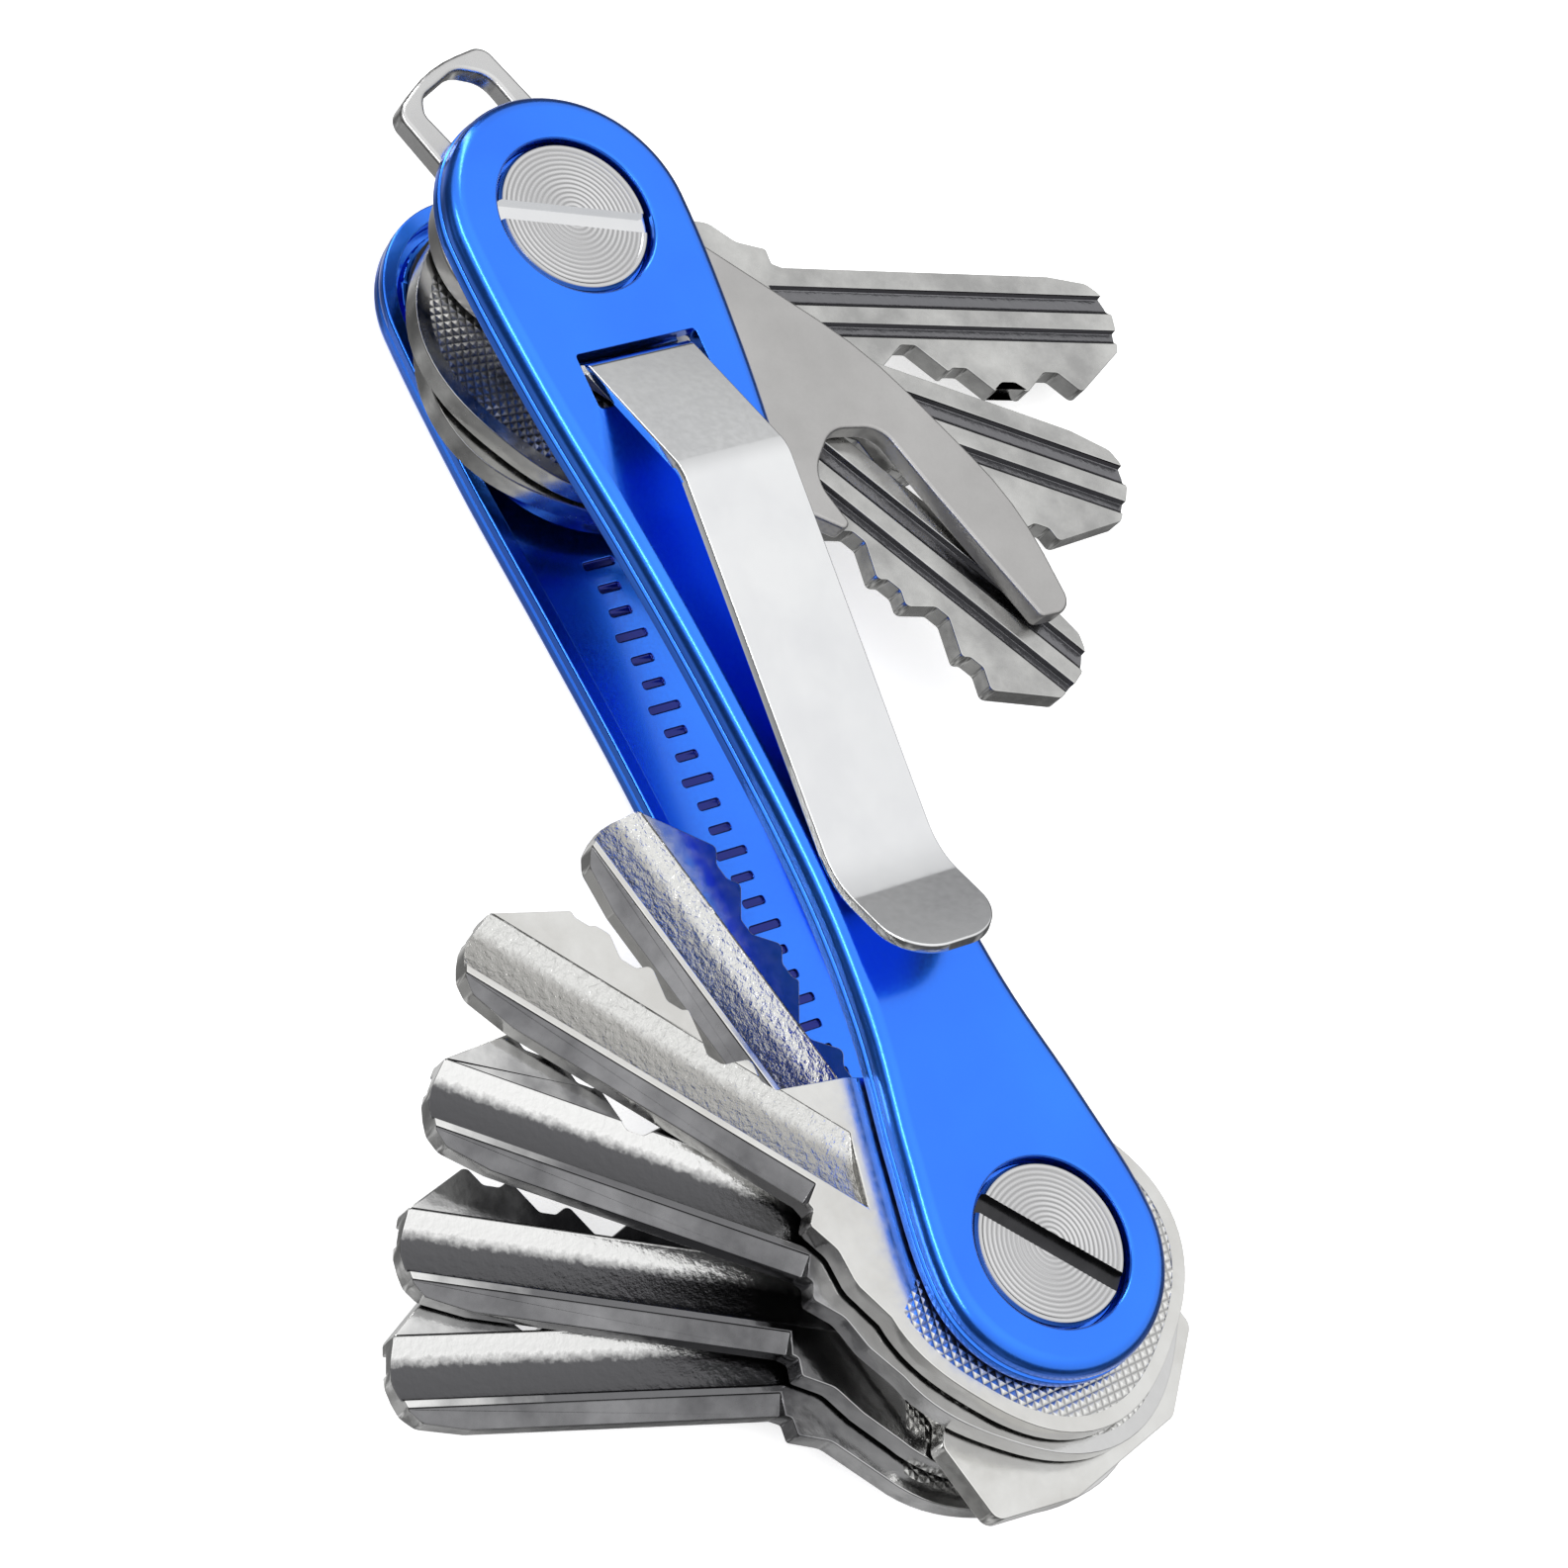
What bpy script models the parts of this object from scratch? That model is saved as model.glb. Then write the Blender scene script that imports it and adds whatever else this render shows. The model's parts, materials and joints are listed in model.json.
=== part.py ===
"""Key organiser: two anodised plates on two posts, with keys and tools that fan out between them.

Frame: the origin is the middle of the back plate's outer face, +Z points to the pocket clip and
+X runs from the loop end to the key end. Dimensions are millimetres, turned into metres by MM.
"""
import math

import bmesh
import bpy
from mathutils import Matrix, Vector

MM = 0.001

# Driving dimensions
POST_SPACING = 78.0
LAYERS = 5
KEY_THICKNESS = 1.8
GAP = 0.3
PLATE_HEIGHT = 2.7
TOTAL_HEIGHT = 2 * PLATE_HEIGHT + LAYERS * KEY_THICKNESS + (LAYERS + 1) * GAP
LOOP_END = -POST_SPACING / 2
KEY_END = POST_SPACING / 2

# Plates: half-width at each distance from the loop-end post; the first and last are round lobes
FRONT_WAIST = ((0.0, 9.7), (12.0, 8.9), (24.0, 7.3), (36.0, 6.1), (50.0, 5.4), (60.0, 6.1),
               (69.0, 7.9), (POST_SPACING, 9.2))
BACK_WAIST = ((0.0, 8.6), (12.0, 8.1), (24.0, 7.0), (36.0, 6.0), (50.0, 5.4), (60.0, 6.1),
              (69.0, 7.9), (POST_SPACING, 9.2))
SHOULDER = 1.2
GROOVE_INSET = 0.25
LIP_HEIGHT = 0.8
EDGE_BREAK = 0.1
WEB = 1.2
RIM = 1.1
BOSS_RADIUS = 6.8
BOSS_DEPTH = 2.05
POCKET_RADIUS = 6.95
SEAT_RADIUS = 6.0
SEAT_DEPTH = 1.45
WINDOW_START = 10.0
WINDOW_END = 14.2
WINDOW_WIDTH = 10.2

# Screws, posts and washers
HEAD_RADIUS = 5.7
HEAD_THICKNESS = 0.85
HEAD_RECESS = 0.3
HEAD_CHAMFER = 0.2
SLOT_WIDTH = 1.5
SLOT_DEPTH = 0.5
SHANK_RADIUS = 1.95
SHANK_LENGTH = 8.0
SHANK_CHAMFER = 0.3
SLEEVE_RADIUS = 3.0
SLEEVE_BORE = 2.3
BORE_FLOOR = 1.0
PIVOT_HOLE = 3.35
WASHER_RADIUS = 6.5
WASHER_TOP = 2.3
WASHER_THICKNESS = 0.45
LOOP_SLOT_ANGLE = 73.0
KEY_SLOT_ANGLE = 43.0

# Pocket clip: a flat blank, bent at the listed lengths
CLIP_THICKNESS = 0.8
CLIP_WIDTH = 9.0
CLIP_DEPTH = 1.55
CLIP_RING_INNER = 7.15
CLIP_RING_OUTER = 8.4
CLIP_TIP_RADIUS = 3.6
CLIP_FLAT = 9.95
CLIP_BENDS = (          # straight run, then degrees turned (up is positive) at a mid-line radius
    (0.0, 70.0, 0.8),
    (0.7, -45.0, 0.8),
    (10.4, -32.7, 2.5),
    (26.4, 31.7, 5.0),
    (7.4, 0.0, 1.0),
)

# Keys: a blank drawn about its bow, with its blade along +X and its straight spine at +Y
LONG_BLADE = 29.3
SHORT_BLADE = 28.6
SPINE = 5.3
BIT_EDGE = -4.4
BOW_POWER = 2.5
CUT_FLAT = 0.6
CUT_SLOPE = 0.9
FIRST_CUT = 6.2
CUT_PITCH = 4.0
MILLED_DEPTH = 0.5
UNDER_GROOVE_WIDTH = 1.4
NECK_START = 6.5
CLEAR = 1.0         # how far a cutter reaches past the face that it cuts


class Key:
    """One key: its layer, its angle from +X, and its shape as seen from the post in its bow.

    The blade is (its shoulder's distance from the post, its offset across, its length).
    """

    def __init__(self, name, post, layer, angle, blade, bow, size, cuts, milling, corners=None):
        self.name = name
        self.post = post
        self.layer = layer
        self.angle = angle
        self.shoulder, self.offset, self.length = blade
        self.bow = bow
        self.size = size
        self.cuts = cuts
        self.milling = milling
        self.corners = corners


WIDE_MILLING = ((-0.9, 3.3, 3.2),)
TWIN_MILLING = ((2.3, 3.7, 0.4), (-0.2, 0.8, 0.4))
CUT_CORNER_BOW = ((7.0, 10.4, 3.0), (-5.0, 10.4, 0.6), (-6.4, 11.9, 0.8), (-12.4, 11.9, 1.0),
                  (-14.6, 5.5, 1.0), (-14.6, -4.8, 1.0), (-10.6, -10.6, 1.0), (6.0, -10.4, 3.0))

KEYS = (
    Key("lower_key_1", KEY_END, 1, 221.3, (15.1, 0.0, SHORT_BLADE), (0.0, 0.0), (11.6, 11.4),
        (3.6, 4.0, 2.1, 1.2, 0.3), WIDE_MILLING),
    Key("lower_key_2", KEY_END, 2, 234.2, (14.3, 0.4, SHORT_BLADE), (-0.8, 0.4), (12.0, 11.9),
        (2.2, 2.4, 3.9, 1.9, 0.9), WIDE_MILLING),
    Key("lower_key_3", KEY_END, 3, 194.7, (10.7, 1.9, LONG_BLADE), (-4.4, 1.9), (12.3, 11.9),
        (2.4, 3.3, 1.4, 2.0, 0.9), WIDE_MILLING, CUT_CORNER_BOW),
    Key("lower_key_4", KEY_END, 4, 245.0, (14.2, 1.3, SHORT_BLADE), (-0.9, 1.3), (12.3, 12.2),
        (3.0, 1.6, 3.4, 2.4, 1.1), WIDE_MILLING),
    Key("lower_key_5", KEY_END, 5, 254.3, (15.2, 2.3, SHORT_BLADE), (0.1, 2.3), (12.6, 12.6),
        (1.8, 3.2, 2.6, 3.4, 1.4), WIDE_MILLING),
    Key("upper_key_1", LOOP_END, 3, 33.6, (19.7, 0.2, LONG_BLADE), (5.7, -1.8), (12.2, 12.0),
        (1.0, 3.4, 2.0, 2.8, 1.2), TWIN_MILLING),
    Key("upper_key_2", LOOP_END, 4, 57.9, (20.5, -2.0, LONG_BLADE), (5.6, -4.2), (12.4, 12.6),
        (2.6, 1.2, 3.0, 1.8, 0.8), TWIN_MILLING),
    Key("upper_key_3", LOOP_END, 5, 76.7, (22.3, -2.6, LONG_BLADE), (6.7, -4.8), (12.6, 13.4),
        (1.4, 3.6, 1.8, 0.6, 1.6), TWIN_MILLING),
)

# Fob loop and bottle opener: corner points with a rounding radius, in each piece's own frame
FOB_LOOP_ANGLE = 203.0
FOB_LOOP_OUTLINE = ((0.0, -7.0, 6.5), (13.6, -6.9, 1.3), (14.7, -2.0, 12.0), (13.6, 3.0, 1.3),
                    (4.0, 3.6, 3.0), (2.0, 7.0, 5.0), (-7.0, 7.0, 6.5), (-7.0, -7.0, 6.5))
FOB_LOOP_EYE = ((6.2, -5.1, 1.6), (11.6, -5.4, 2.2), (13.4, -3.6, 1.8), (13.3, 0.3, 1.6),
                (12.2, 1.2, 1.0), (6.2, 1.1, 1.6))
OPENER_ANGLE = 40.0
OPENER_OUTLINE = ((-8.2, -7.6, 7.0), (-8.2, 8.0, 7.0), (24.0, 8.8, 30.0), (38.6, 5.0, 24.0),
                  (45.8, -0.4, 1.5), (43.8, -2.6, 0.6), (33.0, 1.3, 20.0), (27.2, 3.6, 2.4),
                  (24.0, 1.0, 2.4), (24.3, -3.4, 3.0), (29.2, -5.6, 0.5), (24.6, -6.6, 3.0),
                  (12.0, -6.6, 10.0))

COLOURS = {
    "blue_anodised": ((0.022, 0.17, 0.85), 0.28, 0.9),
    "blue_anodised_back": ((0.018, 0.14, 0.75), 0.30, 0.9),
    "polished_steel": ((0.74, 0.75, 0.76), 0.10, 1.0),
    "turned_steel": ((0.70, 0.71, 0.72), 0.22, 1.0),
    "post_steel": ((0.55, 0.56, 0.58), 0.30, 1.0),
    "blasted_steel": ((0.42, 0.42, 0.43), 0.42, 1.0),
    "nickel_key": ((0.62, 0.62, 0.61), 0.25, 1.0),
    "black_nylon": ((0.02, 0.02, 0.022), 0.55, 0.0),
}


def remove_startup_objects():
    """Empty the scene."""
    for obj in list(bpy.data.objects):
        bpy.data.objects.remove(obj, do_unlink=True)


def material(name):
    """Return the named material, made from COLOURS on first use."""
    if name in bpy.data.materials:
        return bpy.data.materials[name]
    colour, roughness, metallic = COLOURS[name]
    made = bpy.data.materials.new(name)
    made.use_nodes = True
    shader = made.node_tree.nodes["Principled BSDF"]
    shader.inputs["Base Color"].default_value = (*colour, 1.0)
    shader.inputs["Roughness"].default_value = roughness
    shader.inputs["Metallic"].default_value = metallic
    return made


def finish_object(name, bm, material_name=None):
    """Turn a bmesh drawn in millimetres into an object, shaded smooth across shallow edges."""
    bmesh.ops.recalc_face_normals(bm, faces=bm.faces)
    bmesh.ops.transform(bm, matrix=Matrix.Scale(MM, 4), verts=bm.verts)
    mesh = bpy.data.meshes.new(name)
    bm.to_mesh(mesh)
    bm.free()
    mesh.shade_smooth()
    mesh.set_sharp_from_angle(angle=math.radians(35))
    obj = bpy.data.objects.new(name, mesh)
    bpy.context.scene.collection.objects.link(obj)
    if material_name:
        mesh.materials.append(material(material_name))
    return obj


def place(obj, x, z, angle=0.0):
    """Put an object's origin on a post's axis, turned about Z."""
    obj.location = (x * MM, 0.0, z * MM)
    obj.rotation_euler = (0.0, 0.0, math.radians(angle))
    return obj


def cut(obj, cutter):
    """Subtract a cutter, which is then left out of the part."""
    boolean = obj.modifiers.new("cut_" + cutter.name, "BOOLEAN")
    boolean.operation = "DIFFERENCE"
    boolean.object = cutter
    cutter.hide_render = True
    cutter.display_type = "WIRE"


# ---------------------------------------------------------------- outlines

def circle(radius, count=40, centre=(0.0, 0.0)):
    """Points of a circle."""
    steps = [2 * math.pi * i / count for i in range(count)]
    return [(centre[0] + radius * math.cos(t), centre[1] + radius * math.sin(t)) for t in steps]


def rounded(corners, degrees_per_step=18.0):
    """A closed outline through (x, y, radius) corners, each rounded by an arc."""
    points = []
    count = len(corners)
    for i, (x, y, radius) in enumerate(corners):
        here = Vector((x, y))
        to_last = Vector(corners[i - 1][:2]) - here
        to_next = Vector(corners[(i + 1) % count][:2]) - here
        room = 0.49 * min(to_last.length, to_next.length)
        to_last.normalize()
        to_next.normalize()
        half = to_last.angle(to_next) / 2
        turn = math.pi - 2 * half
        if radius <= 0 or turn < math.radians(2):
            points.append((x, y))
            continue
        setback = min(radius / math.tan(half), room)
        radius = setback * math.tan(half)
        middle = (to_last + to_next).normalized()
        centre = here + middle * (radius / math.sin(half))
        start = here + to_last * setback - centre
        side = 1.0 if to_last.x * to_next.y - to_last.y * to_next.x < 0 else -1.0
        steps = max(1, round(math.degrees(turn) / degrees_per_step))
        for k in range(steps + 1):
            swing = side * turn * k / steps
            turned = Matrix.Rotation(swing, 2) @ start
            points.append((centre.x + turned.x, centre.y + turned.y))
    return points


def smooth_through(knots, x):
    """Height at x of a smooth curve through the knots, level at both ends."""
    slopes = [0.0]
    for i in range(1, len(knots) - 1):
        slopes.append((knots[i + 1][1] - knots[i - 1][1]) / (knots[i + 1][0] - knots[i - 1][0]))
    slopes.append(0.0)
    for i in range(len(knots) - 1):
        x0, y0 = knots[i]
        x1, y1 = knots[i + 1]
        if x <= x1:
            break
    span = x1 - x0
    t = (x - x0) / span
    return (y0 * (1 + 2 * t) * (1 - t) ** 2 + slopes[i] * span * t * (1 - t) ** 2
            + y1 * t * t * (3 - 2 * t) + slopes[i + 1] * span * t * t * (t - 1))


def plate_outline(waist, inset=0.0, side_steps=13, end_steps=12):
    """A plate's outline: two round lobes joined by a waisted side, moved inward by inset."""
    loop_lobe = waist[0][1] - inset
    key_lobe = waist[-1][1] - inset
    points = []
    for i in range(end_steps):
        t = math.pi / 2 + math.pi * i / end_steps
        points.append((LOOP_END + loop_lobe * math.cos(t), loop_lobe * math.sin(t)))
    side = [POST_SPACING * i / side_steps for i in range(side_steps)]
    points += [(LOOP_END + x, -smooth_through(waist, x) + inset) for x in side]
    for i in range(end_steps):
        t = -math.pi / 2 + math.pi * i / end_steps
        points.append((KEY_END + key_lobe * math.cos(t), key_lobe * math.sin(t)))
    points += [(KEY_END - x, smooth_through(waist, POST_SPACING - x) - inset) for x in side]
    return points


# ---------------------------------------------------------------- solids

def loft(loops):
    """A closed solid through (outline, z) loops that all have the same number of points."""
    bm = bmesh.new()
    rings = [[bm.verts.new((x, y, z)) for x, y in outline] for outline, z in loops]
    for low, high in zip(rings, rings[1:]):
        for i in range(len(low)):
            j = (i + 1) % len(low)
            bm.faces.new((low[i], low[j], high[j], high[i]))
    bm.faces.new(rings[0])
    bm.faces.new(rings[-1])
    return bm


def sheet(outline, holes, z, thickness):
    """A flat sheet with through holes, standing on z."""
    bm = bmesh.new()
    edges = []
    for loop in [outline, *holes]:
        ring = [bm.verts.new((x, y, z)) for x, y in loop]
        edges += [bm.edges.new((ring[i - 1], ring[i])) for i in range(len(ring))]
    bmesh.ops.triangle_fill(bm, use_beauty=True, edges=edges, normal=(0.0, 0.0, 1.0))
    top = bmesh.ops.extrude_face_region(bm, geom=list(bm.faces))
    raised = [v for v in top["geom"] if isinstance(v, bmesh.types.BMVert)]
    bmesh.ops.translate(bm, verts=raised, vec=(0.0, 0.0, thickness))
    return bm


def turned(profile, segments=32):
    """A solid turned about Z from its (radius, z) profile, listed from bottom to top."""
    bm = bmesh.new()
    rings = []
    for radius, z in profile:
        if radius == 0.0:
            rings.append([bm.verts.new((0.0, 0.0, z))])
        else:
            rings.append([bm.verts.new((x, y, z)) for x, y in circle(radius, segments)])
    for low, high in zip(rings, rings[1:]):
        for i in range(segments):
            j = (i + 1) % segments
            corners = [low[i % len(low)], low[j % len(low)], high[j % len(high)], high[i % len(high)]]
            bm.faces.new(list(dict.fromkeys(corners)))
    if len(rings[0]) > 1:
        bm.faces.new(rings[0])
    if len(rings[-1]) > 1:
        bm.faces.new(rings[-1])
    return bm


def box(low, high):
    """An axis-aligned block."""
    outline = [(low[0], low[1]), (high[0], low[1]), (high[0], high[1]), (low[0], high[1])]
    return loft([(outline, low[2]), (outline, high[2])])


# ---------------------------------------------------------------- plates

def plate_sections():
    """(inset, height) of the plate's side, from the inner rim to the outer face."""
    groove_bottom = LIP_HEIGHT + EDGE_BREAK
    groove_top = LIP_HEIGHT + 3 * EDGE_BREAK
    wall_bottom = LIP_HEIGHT + 4 * EDGE_BREAK
    wall_top = PLATE_HEIGHT - SHOULDER
    sections = [(EDGE_BREAK, 0.0), (0.0, EDGE_BREAK), (0.0, LIP_HEIGHT),
                (GROOVE_INSET, groove_bottom), (GROOVE_INSET, groove_top), (EDGE_BREAK, wall_bottom)]
    steps = 3
    for i in range(steps + 1):
        t = math.pi / 2 * i / steps
        inset = EDGE_BREAK + SHOULDER * (1 - math.cos(t))
        sections.append((inset, wall_top + SHOULDER * math.sin(t)))
    return sections


def spool_cutter(name, post, z_of_depth):
    """What is cut at a post: the head's seat, the pivot hole and the washer's pocket."""
    depths = ((POCKET_RADIUS, PLATE_HEIGHT + CLEAR), (POCKET_RADIUS, BOSS_DEPTH),
              (PIVOT_HOLE, BOSS_DEPTH), (PIVOT_HOLE, SEAT_DEPTH),
              (SEAT_RADIUS, SEAT_DEPTH), (SEAT_RADIUS, -CLEAR))
    profile = [(radius, z_of_depth(depth)) for radius, depth in depths]
    cutter = finish_object(name, turned(profile, 36))
    return place(cutter, post, 0.0)


def build_plate(name, material_name, waist, face_up):
    """A plate: an outer shell with a shallow tray inside and a boss round each post."""
    def z_of_depth(depth):
        return TOTAL_HEIGHT - depth if face_up else depth

    loops = [(plate_outline(waist, inset), z_of_depth(PLATE_HEIGHT - height))
             for inset, height in plate_sections()]
    plate = finish_object(name, loft(loops), material_name)
    bosses = [circle(BOSS_RADIUS, 32, (post, 0.0)) for post in (LOOP_END, KEY_END)]
    tray_z = min(z_of_depth(WEB), z_of_depth(PLATE_HEIGHT + CLEAR))
    tray = sheet(plate_outline(waist, RIM), bosses, tray_z, PLATE_HEIGHT + CLEAR - WEB)
    cut(plate, finish_object(name + "_tray_cutter", tray))
    for label, post in (("loop", LOOP_END), ("key", KEY_END)):
        cut(plate, spool_cutter(f"{name}_{label}_seat_cutter", post, z_of_depth))
    return plate


def build_window_cutter():
    """The opening that the clip comes up through."""
    low = (LOOP_END + WINDOW_START, -WINDOW_WIDTH / 2, TOTAL_HEIGHT - 2 * WEB)
    high = (LOOP_END + WINDOW_END, WINDOW_WIDTH / 2, TOTAL_HEIGHT + CLEAR)
    return finish_object("front_plate_window_cutter", box(low, high))


# ---------------------------------------------------------------- fasteners

def build_post(name, x):
    """A headed sleeve let into the back plate, bored for the screw."""
    head_top = HEAD_RECESS + HEAD_THICKNESS
    sleeve_top = TOTAL_HEIGHT - head_top - GAP
    profile = [(HEAD_RADIUS - HEAD_CHAMFER, HEAD_RECESS), (HEAD_RADIUS, HEAD_RECESS + HEAD_CHAMFER),
               (HEAD_RADIUS, head_top), (SLEEVE_RADIUS, head_top), (SLEEVE_RADIUS, sleeve_top),
               (SLEEVE_BORE, sleeve_top), (SLEEVE_BORE, head_top + BORE_FLOOR),
               (0.0, head_top + BORE_FLOOR)]
    return place(finish_object(name, turned(profile), "post_steel"), x, 0.0)


def build_screw(name, x, slot_angle):
    """A flat-headed screw with one coin slot; its origin is the underside of the head."""
    profile = [(SHANK_RADIUS - SHANK_CHAMFER, -SHANK_LENGTH),
               (SHANK_RADIUS, SHANK_CHAMFER - SHANK_LENGTH),
               (SHANK_RADIUS, 0.0), (HEAD_RADIUS, 0.0), (HEAD_RADIUS, HEAD_THICKNESS - HEAD_CHAMFER),
               (HEAD_RADIUS - HEAD_CHAMFER, HEAD_THICKNESS)]
    screw = finish_object(name, turned(profile), "turned_steel")
    slot = box((-HEAD_RADIUS - CLEAR, -SLOT_WIDTH / 2, HEAD_THICKNESS - SLOT_DEPTH),
               (HEAD_RADIUS + CLEAR, SLOT_WIDTH / 2, HEAD_THICKNESS + CLEAR))
    slot_cutter = finish_object(name + "_slot_cutter", slot)
    under_head = TOTAL_HEIGHT - HEAD_RECESS - HEAD_THICKNESS
    place(screw, x, under_head, slot_angle)
    place(slot_cutter, x, under_head, slot_angle)
    cut(screw, slot_cutter)
    return screw


def build_washer(name, x, face_up):
    """A friction washer in the pocket under a plate's boss."""
    z = TOTAL_HEIGHT - WASHER_TOP - WASHER_THICKNESS if face_up else WASHER_TOP
    ring = sheet(circle(WASHER_RADIUS, 28), [circle(PIVOT_HOLE, 20)], 0.0, WASHER_THICKNESS)
    return place(finish_object(name, ring, "black_nylon"), x, z)


# ---------------------------------------------------------------- pocket clip

def clip_path():
    """The bent mid-line as (blank length, x, z, direction) at each change, from the ring's centre."""
    stations = [(0.0, 0.0, 0.0, 0.0), (CLIP_FLAT, CLIP_FLAT, 0.0, 0.0)]
    length, x, z, heading = stations[-1]
    for run, turn, radius in CLIP_BENDS:
        if run:
            length += run
            x += run * math.cos(heading)
            z += run * math.sin(heading)
            stations.append((length, x, z, heading))
        steps = math.ceil(abs(turn) / 12.0)
        for _ in range(steps):
            swing = math.radians(turn) / steps
            chord = 2 * radius * math.sin(abs(swing) / 2)
            x += chord * math.cos(heading + swing / 2)
            z += chord * math.sin(heading + swing / 2)
            heading += swing
            length += radius * abs(swing)
            stations.append((length, x, z, heading))
    return stations


def bend_point(stations, length, height):
    """Where a point of the flat blank goes when the blank is bent."""
    for low, high in zip(stations, stations[1:]):
        if length <= high[0]:
            break
    share = (length - low[0]) / (high[0] - low[0])
    x = low[1] + share * (high[1] - low[1])
    z = low[2] + share * (high[2] - low[2])
    heading = low[3] + share * (high[3] - low[3])
    return x - height * math.sin(heading), z + height * math.cos(heading)


def clip_blank_outline(blank_length):
    """The flat blank: a ring with a strap that ends in two rounded corners."""
    half = CLIP_WIDTH / 2
    start = math.asin(half / CLIP_RING_OUTER)
    steps = 28
    ring = []
    for i in range(steps + 1):
        t = start + (2 * math.pi - 2 * start) * i / steps
        ring.append((CLIP_RING_OUTER * math.cos(t), CLIP_RING_OUTER * math.sin(t)))
    tip = []
    for corner, first in ((-1, -90), (1, 0)):
        for i in range(6):
            t = math.radians(first + 18 * i)
            tip.append((blank_length - CLIP_TIP_RADIUS + CLIP_TIP_RADIUS * math.cos(t),
                        corner * (half - CLIP_TIP_RADIUS) + CLIP_TIP_RADIUS * math.sin(t)))
    return ring + tip


def build_clip():
    """The pocket clip, cut as a flat blank and then bent; its origin is the ring's centre."""
    stations = clip_path()
    blank_length = stations[-1][0]
    bm = sheet(clip_blank_outline(blank_length), [circle(CLIP_RING_INNER, 36)],
               -CLIP_THICKNESS / 2, CLIP_THICKNESS)
    for length, *_ in stations[1:-1]:
        everything = list(bm.verts) + list(bm.edges) + list(bm.faces)
        bmesh.ops.bisect_plane(bm, geom=everything, dist=1e-5, plane_co=(length, 0.0, 0.0),
                               plane_no=(1.0, 0.0, 0.0))
    for vert in bm.verts:
        if vert.co.x > CLIP_FLAT:
            vert.co.x, vert.co.z = bend_point(stations, vert.co.x, vert.co.z)
    clip = finish_object("pocket_clip", bm, "polished_steel")
    return place(clip, LOOP_END, TOTAL_HEIGHT - CLIP_DEPTH - CLIP_THICKNESS / 2)


# ---------------------------------------------------------------- keys and tools

def layer_bottom(layer):
    """Height of a layer's underside; layer 1 is next to the front plate."""
    return TOTAL_HEIGHT - PLATE_HEIGHT - layer * (KEY_THICKNESS + GAP)


def cut_edge(stop, shift, cuts):
    """The notched edge from the bow to the tip, from the depth of each pin's cut."""
    base = BIT_EDGE + shift
    places = [stop + FIRST_CUT + CUT_PITCH * i for i in range(len(cuts))]
    points = [(stop + 1.6, base)]
    last_x, last_depth = None, None
    for x, depth in zip(places, cuts):
        if last_x is None:
            points.append((x - CUT_FLAT - depth / CUT_SLOPE, base))
        else:
            peak = ((last_depth - depth) / CUT_SLOPE + last_x + x) / 2
            peak_depth = last_depth - CUT_SLOPE * (peak - last_x - CUT_FLAT)
            if peak_depth > 0:
                points.append((peak, base + peak_depth))
            else:
                points.append((last_x + CUT_FLAT + last_depth / CUT_SLOPE, base))
                points.append((x - CUT_FLAT - depth / CUT_SLOPE, base))
        points.append((x - CUT_FLAT, base + depth))
        points.append((x + CUT_FLAT, base + depth))
        last_x, last_depth = x, depth
    points.append((last_x + CUT_FLAT + last_depth / CUT_SLOPE, base))
    return points


def round_bow(key):
    """A rounded-square bow, from the neck's spine side round to its notched side."""
    half_length, half_width = key.size
    points = []
    for degrees in range(52, 309, 8):
        t = math.radians(degrees)
        reach = (abs(math.cos(t)) ** BOW_POWER + abs(math.sin(t)) ** BOW_POWER) ** (-1 / BOW_POWER)
        points.append((key.bow[0] + half_length * reach * math.cos(t),
                       key.bow[1] + half_width * reach * math.sin(t)))
    return points


def key_outline(key):
    """A key's outline with the post at the origin, the blade along +X and the spine at +Y."""
    stop = key.shoulder
    tip = stop + key.length
    if key.corners:
        bow = [point for point in rounded(key.corners) if point[0] < NECK_START]
    else:
        bow = round_bow(key)
    spine = [(tip - 5.2, SPINE), (stop + 1.0, SPINE), (stop + 0.35, SPINE + 0.25), (stop, SPINE + 1.4),
             (stop - 0.4, SPINE + 1.6), (stop - 2.4, SPINE + 2.0)]
    neck = (stop - 4.4, min(SPINE + 3.5 + key.offset, bow[0][1]))
    notched_neck = [(stop - 4.6, -8.6), (stop - 1.6, -6.0), (stop, -5.4)]
    point = [(tip - 5.4, BIT_EDGE), (tip - 0.5, -0.9), (tip - 0.1, 0.6), (tip, 2.1), (tip - 0.8, 4.0),
             (tip - 1.8, 4.8)]
    outline = [(x, y + key.offset) for x, y in spine] + [neck] + bow
    outline += [(x, y + key.offset) for x, y in notched_neck]
    outline += cut_edge(stop, key.offset, key.cuts)
    outline += [(x, y + key.offset) for x, y in point]
    return outline


def milling_cutters(key):
    """Blocks that mill the blade's grooves, slanted where they run out towards the bow."""
    start = key.shoulder + 0.4
    end = key.shoulder + key.length + CLEAR
    cutters = []
    for index, (low, high, slant) in enumerate(key.milling):
        low += key.offset
        high += key.offset
        plan = [(start, low), (end, low), (end, high), (start - slant, high)]
        top = loft([(plan, KEY_THICKNESS - MILLED_DEPTH), (plan, KEY_THICKNESS + CLEAR)])
        cutters.append(finish_object(f"{key.name}_groove_cutter_{index}", top))
    low = BIT_EDGE + 2.2 + key.offset
    under = box((key.shoulder, low, -CLEAR), (end, low + UNDER_GROOVE_WIDTH, MILLED_DEPTH))
    cutters.append(finish_object(key.name + "_under_cutter", under))
    return cutters


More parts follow.
